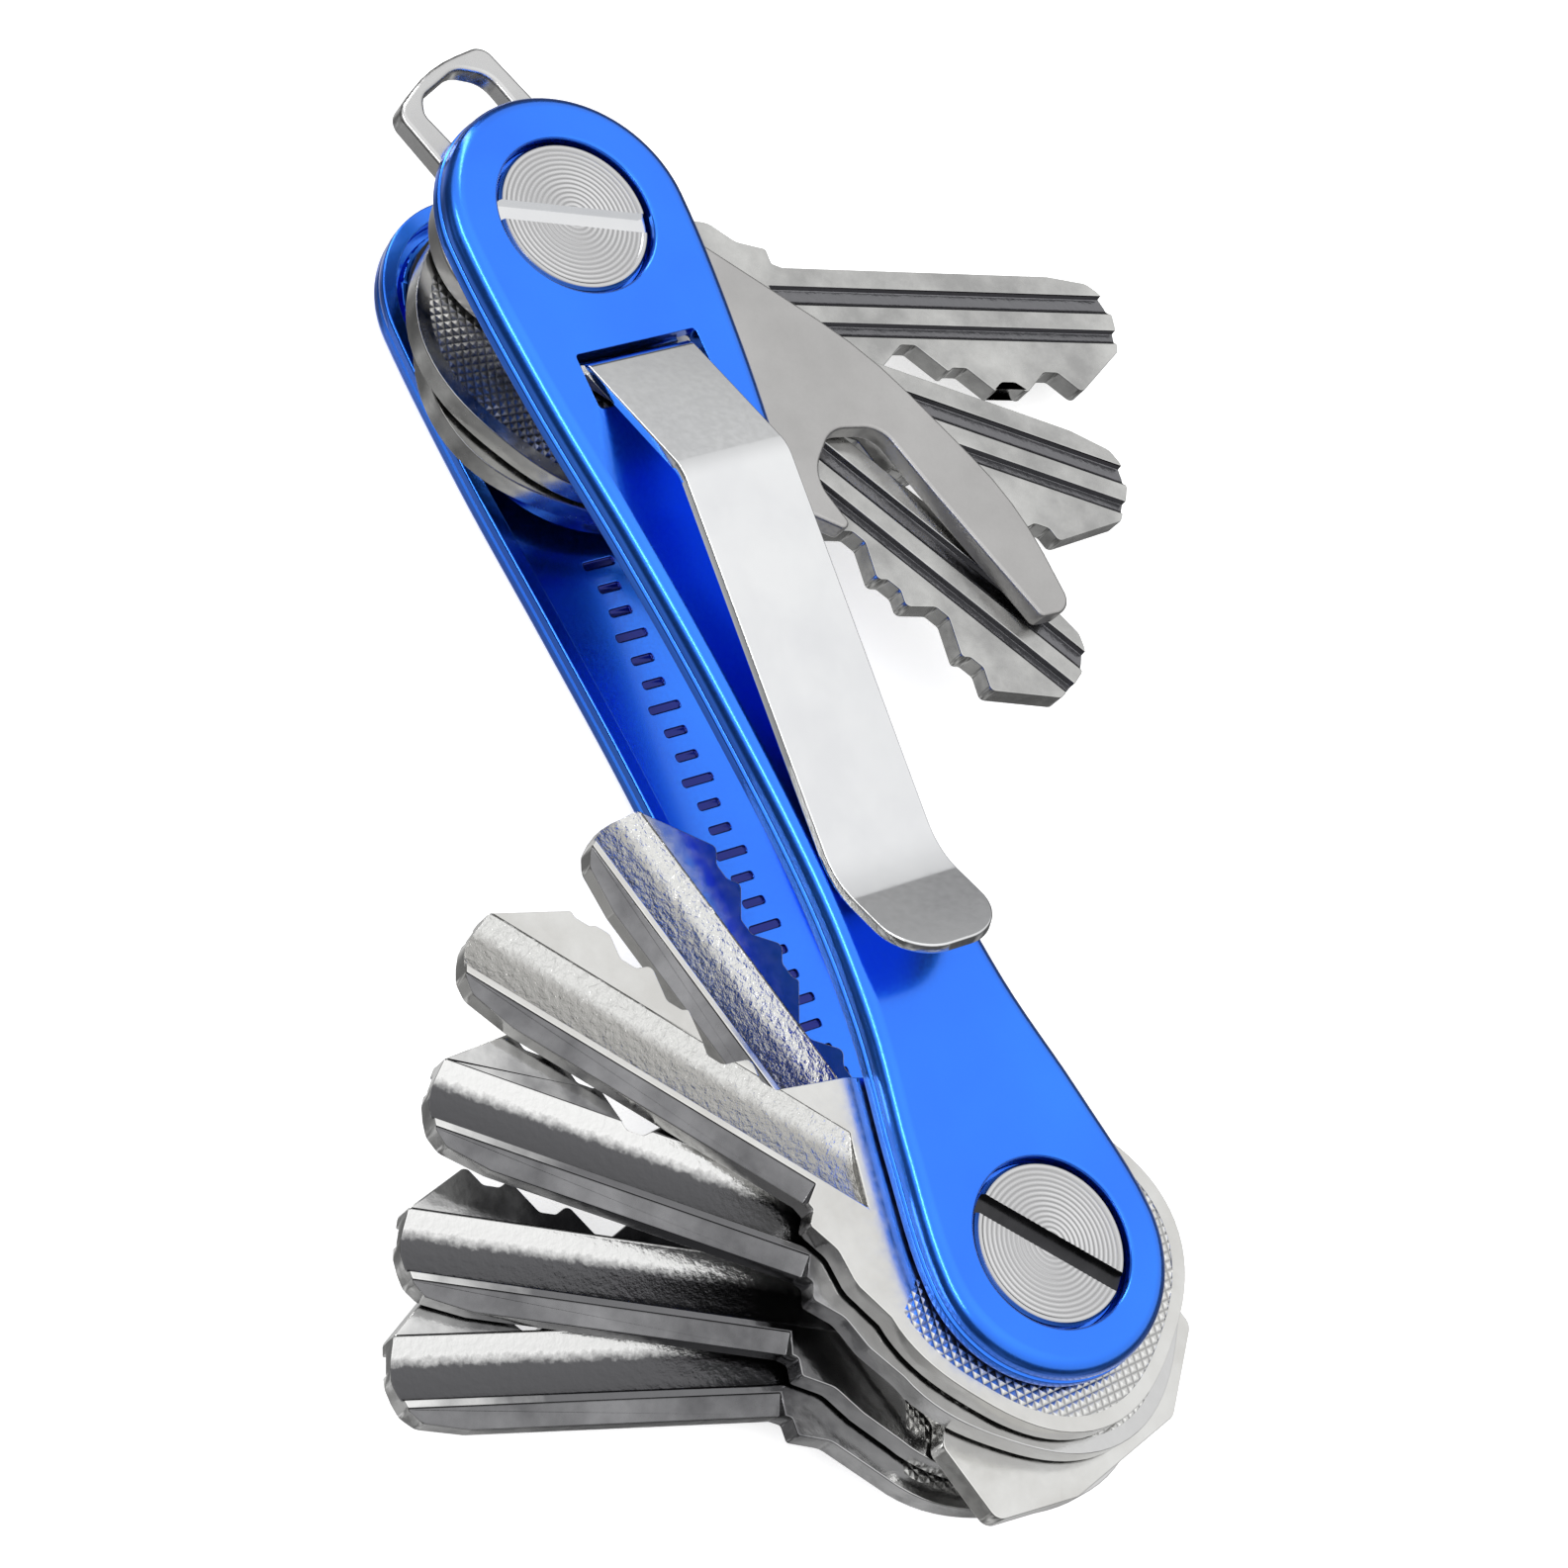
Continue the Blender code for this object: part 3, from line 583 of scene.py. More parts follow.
SEAT_RADIUS = 6.0
SEAT_DEPTH = 1.45
PIVOT_HOLE = 3.35
POCKET_RADIUS = 6.95
CLEAR = 1.0             # how far a cutter reaches past the metal
WINDOW = (10.0, 14.2, 5.1)      # the clip's window: start and end from the post, half width


def smooth_through(knots, x):
    """Height at x of a smooth curve through the knots, level at both ends."""
    slopes = [0.0]
    for i in range(1, len(knots) - 1):
        slopes.append((knots[i + 1][1] - knots[i - 1][1]) / (knots[i + 1][0] - knots[i - 1][0]))
    slopes.append(0.0)
    for i in range(len(knots) - 1):
        x0, y0 = knots[i]
        x1, y1 = knots[i + 1]
        if x <= x1:
            break
    span = x1 - x0
    t = (x - x0) / span
    return (y0 * (1 + 2 * t) * (1 - t) ** 2 + slopes[i] * span * t * (1 - t) ** 2
            + y1 * t * t * (3 - 2 * t) + slopes[i + 1] * span * t * t * (t - 1))


def plate_outline(waist, inset=0.0, side_steps=52, end_steps=48):
    """A plate's outline: two round lobes joined by a waisted side, moved inward by inset."""
    loop_lobe = waist[0][1] - inset
    key_lobe = waist[-1][1] - inset
    side = [POST_SPACING * i / side_steps for i in range(side_steps)]
    turns = [math.pi * i / end_steps for i in range(end_steps)]
    points = [(LOOP_END - loop_lobe * math.sin(t), loop_lobe * math.cos(t)) for t in turns]
    points += [(LOOP_END + x, -smooth_through(waist, x) + inset) for x in side]
    points += [(KEY_END + key_lobe * math.sin(t), -key_lobe * math.cos(t)) for t in turns]
    points += [(KEY_END - x, smooth_through(waist, POST_SPACING - x) - inset) for x in side]
    return points


def plate_sections(shoulder_steps=9):
    """(inset, height) of the plate's side, from the inner rim to the outer face."""
    sections = [(EDGE_BREAK, 0.0), (0.0, EDGE_BREAK), (0.0, LIP_HEIGHT - EDGE_BREAK),
                (EDGE_BREAK / 2, LIP_HEIGHT), (GROOVE_INSET, LIP_HEIGHT + EDGE_BREAK),
                (GROOVE_INSET, LIP_HEIGHT + 2 * EDGE_BREAK), (EDGE_BREAK, LIP_HEIGHT + 4 * EDGE_BREAK)]
    wall_top = PLATE_HEIGHT - SHOULDER
    for i in range(shoulder_steps + 1):
        t = math.pi / 2 * i / shoulder_steps
        inset = EDGE_BREAK + SHOULDER * (1 - math.cos(t))
        sections.append((inset, wall_top + SHOULDER * math.sin(t)))
    return sections


print("plate outline of", len(plate_outline(FRONT_WAIST)), "points")

# %% [markdown]
# The two plates are machined alike, one turned over. Heights are therefore given as depths below a
# plate's outer face, and one function turns a depth into a height for either plate. The front plate
# also has a window that the clip comes up through.

# %% Plates
def z_at(depth, face_up):
    """Height of a depth below a plate's outer face."""
    return TOTAL_HEIGHT - depth if face_up else depth


def seat_cutter(post, face_up):
    """The bore at a post, with a small chamfer where it meets the outer face."""
    chamfer = 0.14
    depths = ((POCKET_RADIUS, PLATE_HEIGHT + CLEAR), (POCKET_RADIUS, BOSS_DEPTH),
              (PIVOT_HOLE, BOSS_DEPTH), (PIVOT_HOLE, SEAT_DEPTH), (SEAT_RADIUS, SEAT_DEPTH),
              (SEAT_RADIUS, chamfer), (SEAT_RADIUS + chamfer, 0.0), (SEAT_RADIUS + chamfer, -CLEAR))
    bm = turned([(radius, z_at(depth, face_up)) for radius, depth in depths])
    bmesh.ops.translate(bm, verts=bm.verts, vec=(post, 0.0, 0.0))
    return new_object("seat_cutter", bm, plate_blue)


def plate(name, waist, face_up):
    """A plate with its tray and its two bores."""
    loops = [(plate_outline(waist, inset), z_at(PLATE_HEIGHT - height, face_up))
             for inset, height in plate_sections()]
    obj = new_object(name, loft(loops), plate_blue)
    bosses = [circle(BOSS_RADIUS, 96, (post, 0.0)) for post in (LOOP_END, KEY_END)]
    tray_z = min(z_at(WEB, face_up), z_at(PLATE_HEIGHT + CLEAR, face_up))
    tray = sheet(plate_outline(waist, RIM), bosses, tray_z, PLATE_HEIGHT + CLEAR - WEB)
    cut(obj, new_object("tray_cutter", tray, plate_blue))
    for post in (LOOP_END, KEY_END):
        cut(obj, seat_cutter(post, face_up))
    return obj


front = plate("front_plate_anodised", FRONT_WAIST, True)
window_start, window_end, window_half = WINDOW
window = rounded([(LOOP_END + window_start, -window_half, 0.3), (LOOP_END + window_end, -window_half, 0.3),
                  (LOOP_END + window_end, window_half, 0.3), (LOOP_END + window_start, window_half, 0.3)],
                 18.0)
cut(front, new_object("window_cutter", sheet(window, [], TOTAL_HEIGHT - 2 * WEB, 2 * WEB + CLEAR),
                      plate_blue))
finish_piece(front, 0.09, 3, 40.0)
fit(front, "frame", "front_plate")

# %% [markdown]
# The inside of the back plate is engraved with a row of plain index marks, long and short. They are
# cut a little way into the tray's floor, where the bare dye shows deeper.

# %% Back plate with its row of marks
MARKS_FROM = -19.0
MARKS_TO = 21.0
MARK_PITCH = 1.9
MARK_DEPTH = 0.15
MARK_HALF_WIDTH = 0.3
LONG_MARK = 1.3         # half lengths
SHORT_MARK = 0.9


def index_marks(z):
    """Rounded bars, every third one longer, as one cutter."""
    marks = bmesh.new()
    count = int((MARKS_TO - MARKS_FROM) / MARK_PITCH)
    for i in range(count + 1):
        half = LONG_MARK if i % 3 == 0 else SHORT_MARK
        x = MARKS_FROM + MARK_PITCH * i
        left = x - MARK_HALF_WIDTH
        right = x + MARK_HALF_WIDTH
        bar = rounded([(left, -half, 0.2), (right, -half, 0.2), (right, half, 0.2), (left, half, 0.2)],
                      30.0)
        mesh = bpy.data.meshes.new("bar")
        solid = sheet(bar, [], z, CLEAR)
        solid.to_mesh(mesh)
        solid.free()
        marks.from_mesh(mesh)
        bpy.data.meshes.remove(mesh)
    return marks


back = plate("back_plate_anodised", BACK_WAIST, False)
marks = index_marks(WEB - MARK_DEPTH)
cut(back, new_object("marks_cutter", marks, inlay_blue))
finish_piece(back, 0.09, 3, 40.0)
fit(back, "frame", "back_plate")

# %% [markdown]
# ## Screws and posts
#
# A screw head is a disc with a coin slot, faced on a lathe. The rings are real here: the profile
# steps up and down by a few hundredths of a millimetre from the rim to the centre. The posts at the
# back are faced the same way but have no slot.

# %% Screws and posts
HEAD_RADIUS = 5.7
HEAD_THICKNESS = 0.85
HEAD_RECESS = 0.3       # how far a post's head lies below the back plate's face
RIM_FLAT = 0.55         # plain band round the rings
RING_COUNT = 14
RING_DEPTH = 0.045
SHANK_RADIUS = 1.95
SLEEVE_RADIUS = 3.0
SLEEVE_BORE = 2.3
BORE_FLOOR = 1.0        # metal between a post's head and its bore
SLOT_WIDTH = 1.5
SLOT_DEPTH = 0.5


def faced_rings(top, direction):
    """The (radius, z) profile of a faced head from its rim to its centre."""
    rim = HEAD_RADIUS - RIM_FLAT
    profile = [(HEAD_RADIUS, top - 0.22 * direction), (HEAD_RADIUS - 0.18, top),
               (rim + 0.1, top), (rim, top - RING_DEPTH * direction)]
    pitch = rim / (RING_COUNT + 0.5)
    for i in range(1, 2 * RING_COUNT + 1):
        height = top if i % 2 else top - RING_DEPTH * direction
        profile.append((rim - pitch * i / 2, height))
    return profile + [(0.0, top - RING_DEPTH * direction)]


def screw(name, node, x, slot_angle, slot_painted_tone):
    """A slotted screw with a faced head, its origin under the head."""
    shank_end = (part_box(node)[0].z - pivots[node].z) / MM
    profile = [(1.65, shank_end), (SHANK_RADIUS, shank_end + 0.3), (SHANK_RADIUS, 0.0),
               (HEAD_RADIUS - 0.1, 0.0), (HEAD_RADIUS, 0.1)] + faced_rings(HEAD_THICKNESS, 1)
    obj = new_object(name, turned(profile, 128), screw_steel)
    reach = HEAD_RADIUS + CLEAR
    slot = [(-reach, -SLOT_WIDTH / 2), (reach, -SLOT_WIDTH / 2), (reach, SLOT_WIDTH / 2),
            (-reach, SLOT_WIDTH / 2)]
    cut(obj, new_object("slot_cutter", sheet(slot, [], HEAD_THICKNESS - SLOT_DEPTH, CLEAR), slot_painted_tone))
    finish_piece(obj, 0.0, split=8.0)
    fit(obj, node, node, x, pivots[node].z / MM, slot_angle)


def post(name, node, x):
    """A headed sleeve, faced on the side that shows at the back."""
    sleeve_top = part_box(node)[1].z / MM
    head_top = HEAD_RECESS + HEAD_THICKNESS
    head = faced_rings(HEAD_RECESS, -1)[::-1]
    profile = head + [(HEAD_RADIUS, head_top), (SLEEVE_RADIUS, head_top), (SLEEVE_RADIUS, sleeve_top),
                      (SLEEVE_BORE, sleeve_top), (SLEEVE_BORE, head_top + BORE_FLOOR),
                      (0.0, head_top + BORE_FLOOR)]
    obj = new_object(name, turned(profile, 128), screw_steel)
    finish_piece(obj, 0.0, split=8.0)
    fit(obj, "frame", node, x)


# Each slot floor takes a painted tone: bright polished steel as a painted highlight at the loop end,
# near-black steel as painted shade at the key end.
for label, x, slot_angle, slot_painted_tone in (("loop_end", LOOP_END, 73.0, clip_steel),
                                         ("key_end", KEY_END, 43.0, slot_painted_shade)):
    screw(label + "_screw_faced", label + "_screw", x, slot_angle, slot_painted_tone)
    post(label + "_post_faced", label + "_post", x)

# %% [markdown]
# ## Pocket clip
#
# The clip is blanked from strip, with a ring that sits round the boss, and then bent four times.
# It is made here the same way: the flat blank first, then every point is moved to where the bends
# put it. Short steps round each bend keep its reflections smooth.

# %% Pocket clip
CLIP_THICKNESS = 0.8
CLIP_WIDTH = 9.0
CLIP_DEPTH = 1.55       # from the front plate's face to the strip's top, at the ring
CLIP_RING = (7.15, 8.4)         # inner and outer radius
CLIP_TIP_RADIUS = 3.6
CLIP_FLAT = 9.95        # where the first bend starts
CLIP_BENDS = (          # straight run, then degrees turned (up is positive) at a mid-line radius
    (0.0, 70.0, 0.8),
    (0.7, -45.0, 0.8),
    (10.4, -32.7, 2.5),
    (26.6, 37.2, 6.5),
    (6.2, 0.0, 1.0),
)


def clip_path(step_degrees):
    """The bent mid-line as (blank length, x, z, direction) at each change."""
    stations = [(0.0, 0.0, 0.0, 0.0), (CLIP_FLAT, CLIP_FLAT, 0.0, 0.0)]
    length, x, z, heading = stations[-1]
    for run, turn, radius in CLIP_BENDS:
        if run:
            length += run
            x += run * math.cos(heading)
            z += run * math.sin(heading)
            stations.append((length, x, z, heading))
        steps = math.ceil(abs(turn) / step_degrees)
        for _ in range(steps):
            swing = math.radians(turn) / steps
            chord = 2 * radius * math.sin(abs(swing) / 2)
            x += chord * math.cos(heading + swing / 2)
            z += chord * math.sin(heading + swing / 2)
            heading += swing
            length += radius * abs(swing)
            stations.append((length, x, z, heading))
    return stations


def bend_point(stations, length, height):
    """Where a point of the flat blank goes when the blank is bent."""
    for low, high in zip(stations, stations[1:]):
        if length <= high[0]:
            break
    share = (length - low[0]) / (high[0] - low[0])
    x = low[1] + share * (high[1] - low[1])
    z = low[2] + share * (high[2] - low[2])
    heading = low[3] + share * (high[3] - low[3])
    return x - height * math.sin(heading), z + height * math.cos(heading)


def clip_blank(blank_length):
    """The flat blank: a ring with a strap that ends in two rounded corners."""
    half = CLIP_WIDTH / 2
    outer = CLIP_RING[1]
    start = math.asin(half / outer)
    turns = [start + (2 * math.pi - 2 * start) * i / 72 for i in range(73)]
    ring = [(outer * math.cos(t), outer * math.sin(t)) for t in turns]
    tip = []
    for corner, first in ((-1, -90), (1, 0)):
        for i in range(16):
            t = math.radians(first + 6 * i)
            tip.append((blank_length - CLIP_TIP_RADIUS + CLIP_TIP_RADIUS * math.cos(t),
                        corner * (half - CLIP_TIP_RADIUS) + CLIP_TIP_RADIUS * math.sin(t)))
    return ring + tip


stations = clip_path(4.0)
bm = sheet(clip_blank(stations[-1][0]), [circle(CLIP_RING[0])], -CLIP_THICKNESS / 2, CLIP_THICKNESS)
for length, *_ in stations[1:-1]:
    everything = list(bm.verts) + list(bm.edges) + list(bm.faces)
    bmesh.ops.bisect_plane(bm, geom=everything, dist=1e-5, plane_co=(length, 0.0, 0.0),
                           plane_no=(1.0, 0.0, 0.0))
for vert in bm.verts:
    if vert.co.x > CLIP_FLAT:
        vert.co.x, vert.co.z = bend_point(stations, vert.co.x, vert.co.z)
clip = new_object("pocket_clip_polished", bm, clip_steel)
finish_piece(clip, 0.13, 3, 40.0, 50.0)
fit(clip, "pocket_clip", "pocket_clip", LOOP_END,
    TOTAL_HEIGHT - CLIP_DEPTH - CLIP_THICKNESS / 2)

# %% [markdown]
# ## Fob loop and bottle opener
#
# Both are laser-cut from sheet. Then the loop is tumbled and the opener is bead blasted, which
# leaves their edges soft, so each gets a wide bevel. Their outlines are a few corners with radii.
# The opener's mouth ends in a hooked lip that goes under the edge of a cap.

# %% Fob loop and opener
def flat_tool(name, node, outline, holes, angle, bevel_mm, material):
    """A flat tool on the loop-end post, with softly rounded edges."""
    body = sheet(rounded(outline), [rounded(hole) for hole in holes] + [circle(PIVOT_HOLE, 64)],
                 0.0, LAYER_THICKNESS)
    obj = new_object(name, body, material)
    finish_piece(obj, bevel_mm, 4, 40.0, 50.0)
    fit(obj, node, node, LOOP_END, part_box(node)[0].z / MM, angle)


FOB_LOOP_OUTLINE = ((0.0, -7.0, 6.5), (13.6, -6.9, 1.3), (14.7, -2.0, 12.0), (13.6, 3.0, 1.3),
                    (4.0, 3.6, 3.0), (2.0, 7.0, 5.0), (-7.0, 7.0, 6.5), (-7.0, -7.0, 6.5))
FOB_LOOP_EYE = ((6.2, -5.1, 1.6), (11.6, -5.4, 2.2), (13.4, -3.6, 1.8), (13.3, 0.3, 1.6),
                (12.2, 1.2, 1.0), (6.2, 1.1, 1.6))
OPENER_OUTLINE = ((-8.2, -7.6, 7.0), (-8.2, 8.0, 7.0), (24.0, 8.8, 30.0), (38.6, 5.0, 24.0),
                  (45.8, -0.4, 1.5), (43.8, -2.6, 0.6), (33.0, 1.3, 20.0), (27.2, 3.6, 2.4),
                  (24.0, 1.0, 2.4), (24.3, -3.4, 3.0), (29.2, -5.6, 0.5), (24.6, -6.6, 3.0),
                  (12.0, -6.6, 10.0))
flat_tool("fob_loop_tumbled", "fob_loop", FOB_LOOP_OUTLINE, [FOB_LOOP_EYE], 203.0, 0.38,
          loop_steel)
flat_tool("bottle_opener_blasted", "bottle_opener", OPENER_OUTLINE, [], 40.0, 0.28,
          opener_steel)

# %% [markdown]
# ## Keys
#
# A key is a stamped blank with a bow, a milled blade and a cut edge. The blade's section is what
# makes it read as a key: one side has a wide groove with a sloping wall, a gritty floor and a thin
# rib beside the spine, and the other kind has two narrow grooves. Each groove is a long cutter
# whose own material stays on the faces that it leaves.

# %% Key sizes
SPINE = 5.3             # the blade's straight edge, across from its middle line
BIT_EDGE = -4.4         # the notched edge, where nothing is cut away
BLADE_ROOT = 1.6        # plain length behind the shoulder
BOW_POWER = 2.5         # 2 would be an ellipse; more is squarer
CUT_FLAT = 0.6          # half the width of a notch's floor
CUT_SLOPE = 0.9
CUT_RADIUS = 0.5
FIRST_CUT = 6.2
CUT_PITCH = 4.0
NECK_START = 6.5
LONG_BLADE = 29.3
SHORT_BLADE = 28.6
CUT_CORNER_BOW = ((7.0, 10.4, 3.0), (-5.0, 10.4, 0.6), (-6.4, 11.9, 0.8), (-12.4, 11.9, 1.0),
                  (-14.6, 5.5, 1.0), (-14.6, -4.8, 1.0), (-10.6, -10.6, 1.0), (6.0, -10.4, 3.0))


class Key:
    """One key as seen from the post in its bow; the blade is (shoulder, offset across, length)."""

    def __init__(self, node, angle, blade, bow, size, cuts, style, corners=None):
        self.node = node
        self.angle = angle
        self.shoulder, self.offset, self.length = blade
        self.bow = bow
        self.size = size
        self.cuts = cuts
        self.style = style
        self.corners = corners
        self.knurled = not corners


KEYS = (
    Key("lower_key_1", 221.3, (15.1, 0.0, SHORT_BLADE), (0.0, 0.0), (11.6, 11.4),
        (3.6, 4.0, 2.1, 1.2, 0.3), "wide_bright"),
    Key("lower_key_2", 234.2, (14.3, 0.4, SHORT_BLADE), (-0.8, 0.4), (12.0, 11.9),
        (2.2, 2.4, 3.9, 1.9, 0.9), "wide_painted_reflection"),
    Key("lower_key_3", 194.7, (10.7, 1.9, LONG_BLADE), (-4.4, 1.9), (12.3, 11.9),
        (2.4, 3.3, 1.4, 2.0, 0.9), "wide_bright", CUT_CORNER_BOW),
    Key("lower_key_4", 245.0, (14.2, 1.3, SHORT_BLADE), (-0.9, 1.3), (12.3, 12.2),
        (3.0, 1.6, 3.4, 2.4, 1.1), "wide_painted_reflection"),
    Key("lower_key_5", 254.3, (15.2, 2.3, SHORT_BLADE), (0.1, 2.3), (12.6, 12.6),
        (1.8, 3.2, 2.6, 3.4, 1.4), "wide_painted_reflection"),
    Key("upper_key_1", 33.6, (19.7, 0.2, LONG_BLADE), (5.7, -1.8), (12.2, 12.0),
        (1.0, 3.4, 2.0, 2.8, 1.2), "twin"),
    Key("upper_key_2", 57.9, (20.5, -2.0, LONG_BLADE), (5.6, -4.2), (12.4, 12.6),
        (2.6, 1.2, 3.0, 1.8, 0.8), "twin"),
    Key("upper_key_3", 76.7, (22.3, -2.6, LONG_BLADE), (6.7, -4.8), (12.6, 13.4),
        (1.4, 3.6, 1.8, 0.6, 1.6), "twin"),
)
print(len(KEYS), "keys")

# %% [markdown]
# A notched edge is worked out as a key machine cuts it: a flat at each pin's depth, with ramps of
# one slope between them. Two neighbouring ramps meet in a peak, or run out on the uncut edge.

# %% Key outline
def cut_edge(key):
    """The notched edge from the bow to the tip, from the depth of each pin's cut."""
    base = BIT_EDGE + key.offset
    points = [(key.shoulder + BLADE_ROOT, base)]
    last_x, last_depth = None, None
    for i, depth in enumerate(key.cuts):
        x = key.shoulder + FIRST_CUT + CUT_PITCH * i
        if last_x is None:
            points.append((x - CUT_FLAT - depth / CUT_SLOPE, base))
        else:
            peak = ((last_depth - depth) / CUT_SLOPE + last_x + x) / 2
            peak_depth = last_depth - CUT_SLOPE * (peak - last_x - CUT_FLAT)
            if peak_depth > 0:
                points.append((peak, base + peak_depth))
            else:
                points.append((last_x + CUT_FLAT + last_depth / CUT_SLOPE, base))
                points.append((x - CUT_FLAT - depth / CUT_SLOPE, base))
        points.append((x - CUT_FLAT, base + depth))
        points.append((x + CUT_FLAT, base + depth))
        last_x, last_depth = x, depth
    points.append((last_x + CUT_FLAT + last_depth / CUT_SLOPE, base))
    return [(x, y, CUT_RADIUS) for x, y in points]


def round_bow(key, margin=0.0):
    """A rounded-square bow, from the neck's spine side round to its notched side."""
    half_length = key.size[0] - margin
    half_width = key.size[1] - margin
    points = []
    for degrees in range(52, 309, 4):
        t = math.radians(degrees)
        reach = (abs(math.cos(t)) ** BOW_POWER + abs(math.sin(t)) ** BOW_POWER) ** (-1 / BOW_POWER)
        points.append((key.bow[0] + half_length * reach * math.cos(t),
                       key.bow[1] + half_width * reach * math.sin(t)))
    return points


def key_outline(key):
    """A key's outline with the post at the origin, the blade along +X and the spine at +Y."""
    stop = key.shoulder
    tip = stop + key.length
    if key.corners:
        bow = [point for point in rounded(key.corners) if point[0] < NECK_START - 1.0]
    else:
        bow = round_bow(key)
    shift = key.offset
    spine = [(tip - 5.2, SPINE, 1.2), (stop + 1.0, SPINE, 0.4), (stop + 0.2, SPINE + 0.3, 0.3),
             (stop, SPINE + 1.5, 0.3), (stop - 2.4, SPINE + 2.0, 1.5)]
    neck = (stop - 4.4, min(SPINE + 3.5 + shift, bow[0][1]), 1.5)
    notched_neck = [(stop - 4.6, -8.6, 2.0), (stop - 1.6, -6.0, 1.2), (stop, -5.4, 0.6)]
    point = [(tip - 5.4, BIT_EDGE, 0.8), (tip - 0.5, -0.9, 0.5), (tip, 2.1, 4.0),
             (tip - 0.8, 4.0, 1.0), (tip - 1.8, 4.8, 1.0)]
    corners = [(x, y + shift, r) for x, y, r in spine] + [neck] + [(x, y, 0.0) for x, y in bow]
    corners += [(x, y + shift, r) for x, y, r in notched_neck]
    corners += cut_edge(key)
    last_cut = corners[-1][0]
    corners += [(x, y + shift, r) for x, y, r in point if x > last_cut + CUT_FLAT]
    return rounded(corners, 15.0)


print("first key's outline has", len(key_outline(KEYS[0])), "points")

# %% [markdown]
# The grooves are milled last, with a cutter that comes in from the tip and runs out slantwise at
# the bow. The knurl is pressed a little way into the bow, which leaves a plain margin round it.

# %% Key milling
RUN_OUT = 0.8           # how much further a groove reaches at the face than at its floor


def groove(key, section, start, slant, material):
    """A long cutter with a (y, z) section; its bow end is slanted like a cutter's run-out."""
    end = key.shoulder + key.length + CLEAR
    bm = bmesh.new()
    top = max(z for _, z in section)
    spread = max(y for y, _ in section) - min(y for y, _ in section)
    low_y = min(y for y, _ in section)
    rings = []
    for far in (False, True):
        ring = []
        for y, z in section:
            x = end if far else start - slant * (y - low_y) / spread - RUN_OUT * (z / top)
            ring.append(bm.verts.new((x, y + key.offset, z)))
        rings.append(ring)
    for i in range(len(section)):
        j = (i + 1) % len(section)
        bm.faces.new((rings[0][i], rings[0][j], rings[1][j], rings[1][i]))
    bm.faces.new(rings[0])
    bm.faces.new(rings[1])
    return new_object("groove_cutter", bm, material)


FACE = LAYER_THICKNESS
OVER = FACE + CLEAR
WIDE_GROOVE = ((-1.0, OVER), (-0.9, FACE - 0.03), (-0.5, FACE - 0.10), (0.1, FACE - 0.32),
               (0.6, FACE - 0.47), (1.1, FACE - 0.54), (1.8, FACE - 0.56), (2.6, FACE - 0.50),
               (3.1, FACE - 0.42), (3.3, FACE - 0.3), (3.35, OVER))
SPINE_STEP = ((3.8, OVER), (3.85, FACE - 0.1), (SPINE + CLEAR, FACE - 0.9), (SPINE + CLEAR, OVER))
TWIN_GROOVES = (
    ((-0.3, OVER), (-0.2, FACE - 0.15), (0.1, FACE - 0.4), (0.8, FACE - 0.5), (1.0, OVER)),
    ((2.2, OVER), (2.3, FACE - 0.15), (2.7, FACE - 0.45), (3.7, FACE - 0.5), (3.9, OVER)),
)
UNDER_GROOVE = ((-0.1, -CLEAR), (-0.05, 0.5), (1.25, 0.5), (1.3, -CLEAR))
GROOVE_TONES_AND_PITS = {      # painted wall reflection, floor tone, size of the pits and their depth
    "wide_bright": ("#cfcfcd", "#a3a29f", 0.55, 0.22),
    # the near-black floor of these keys is painted dark reflection
    "wide_painted_reflection": ("#dededd", "#58585a", 0.5, 0.05),
}
KEY_FACES = {"wide_bright": bright_nickel, "wide_painted_reflection": nickel_painted_reflection, "twin": satin_nickel}
KNURL_MARGIN = 1.0
KNURL_DEPTH = 0.05


def knurled_field(key):
    """A shallow cutter over the bow's middle, inside a plain margin."""
    field = sheet(round_bow(key, KNURL_MARGIN), [], FACE - KNURL_DEPTH, CLEAR)
    return new_object("knurl_cutter", field, knurl_shaded_valleys)


def build_key(key):
    """One key: stamped, milled, with small rounds on its edges."""
    body = sheet(key_outline(key), [circle(PIVOT_HOLE, 64)], 0.0, LAYER_THICKNESS)
    obj = new_object(key.node + "_milled", body, KEY_FACES[key.style])
    start = key.shoulder + 0.4
    if key.style == "twin":
        floor = twin_floor
        for section in TWIN_GROOVES:
            cut(obj, groove(key, section, start, 0.4, floor))
    else:
        floor = groove_painted_sheen(key.node + "_groove", key.offset, *GROOVE_TONES_AND_PITS[key.style])
        cut(obj, groove(key, WIDE_GROOVE, start, 3.2, floor))
        cut(obj, groove(key, SPINE_STEP, start + 0.8, 0.0, edge_steel))
    cut(obj, groove(key, UNDER_GROOVE, start, 0.0, floor))
    knurl = [knurled_field(key)] if key.knurled else []
    finish_piece(obj, 0.11, 2, 30.0, inlays=knurl)
    post_x = pivots[key.node].x / MM
    fit(obj, key.node, key.node, post_x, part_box(key.node)[0].z / MM, key.angle)


for key in KEYS:
    build_key(key)

# %% [markdown]
# ## Washers
#
# The four nylon washers are right as they come from the frame, so they keep their meshes and only
# get their material.

# %% Washers
for name, node in frame["nodes"].items():
    if name.endswith("_washer"):
        node.data.materials.clear()
        node.data.materials.append(washer_nylon)
        node.data.shade_smooth()
        node.data.set_sharp_from_angle(angle=math.radians(35))
        print("nylon on", name)

# %% [markdown]
# ## The studio
#
# Polished metal shows nothing but its surroundings, so the surroundings are the lighting. The world
# is a vertical gradient: white overhead, falling to a dark horizon, like a light tent over a black
# table. Below the horizon a soft noise makes it uneven, as a real room is. The paper floor is left
# out of reflections, which keeps the pieces' sides dark.

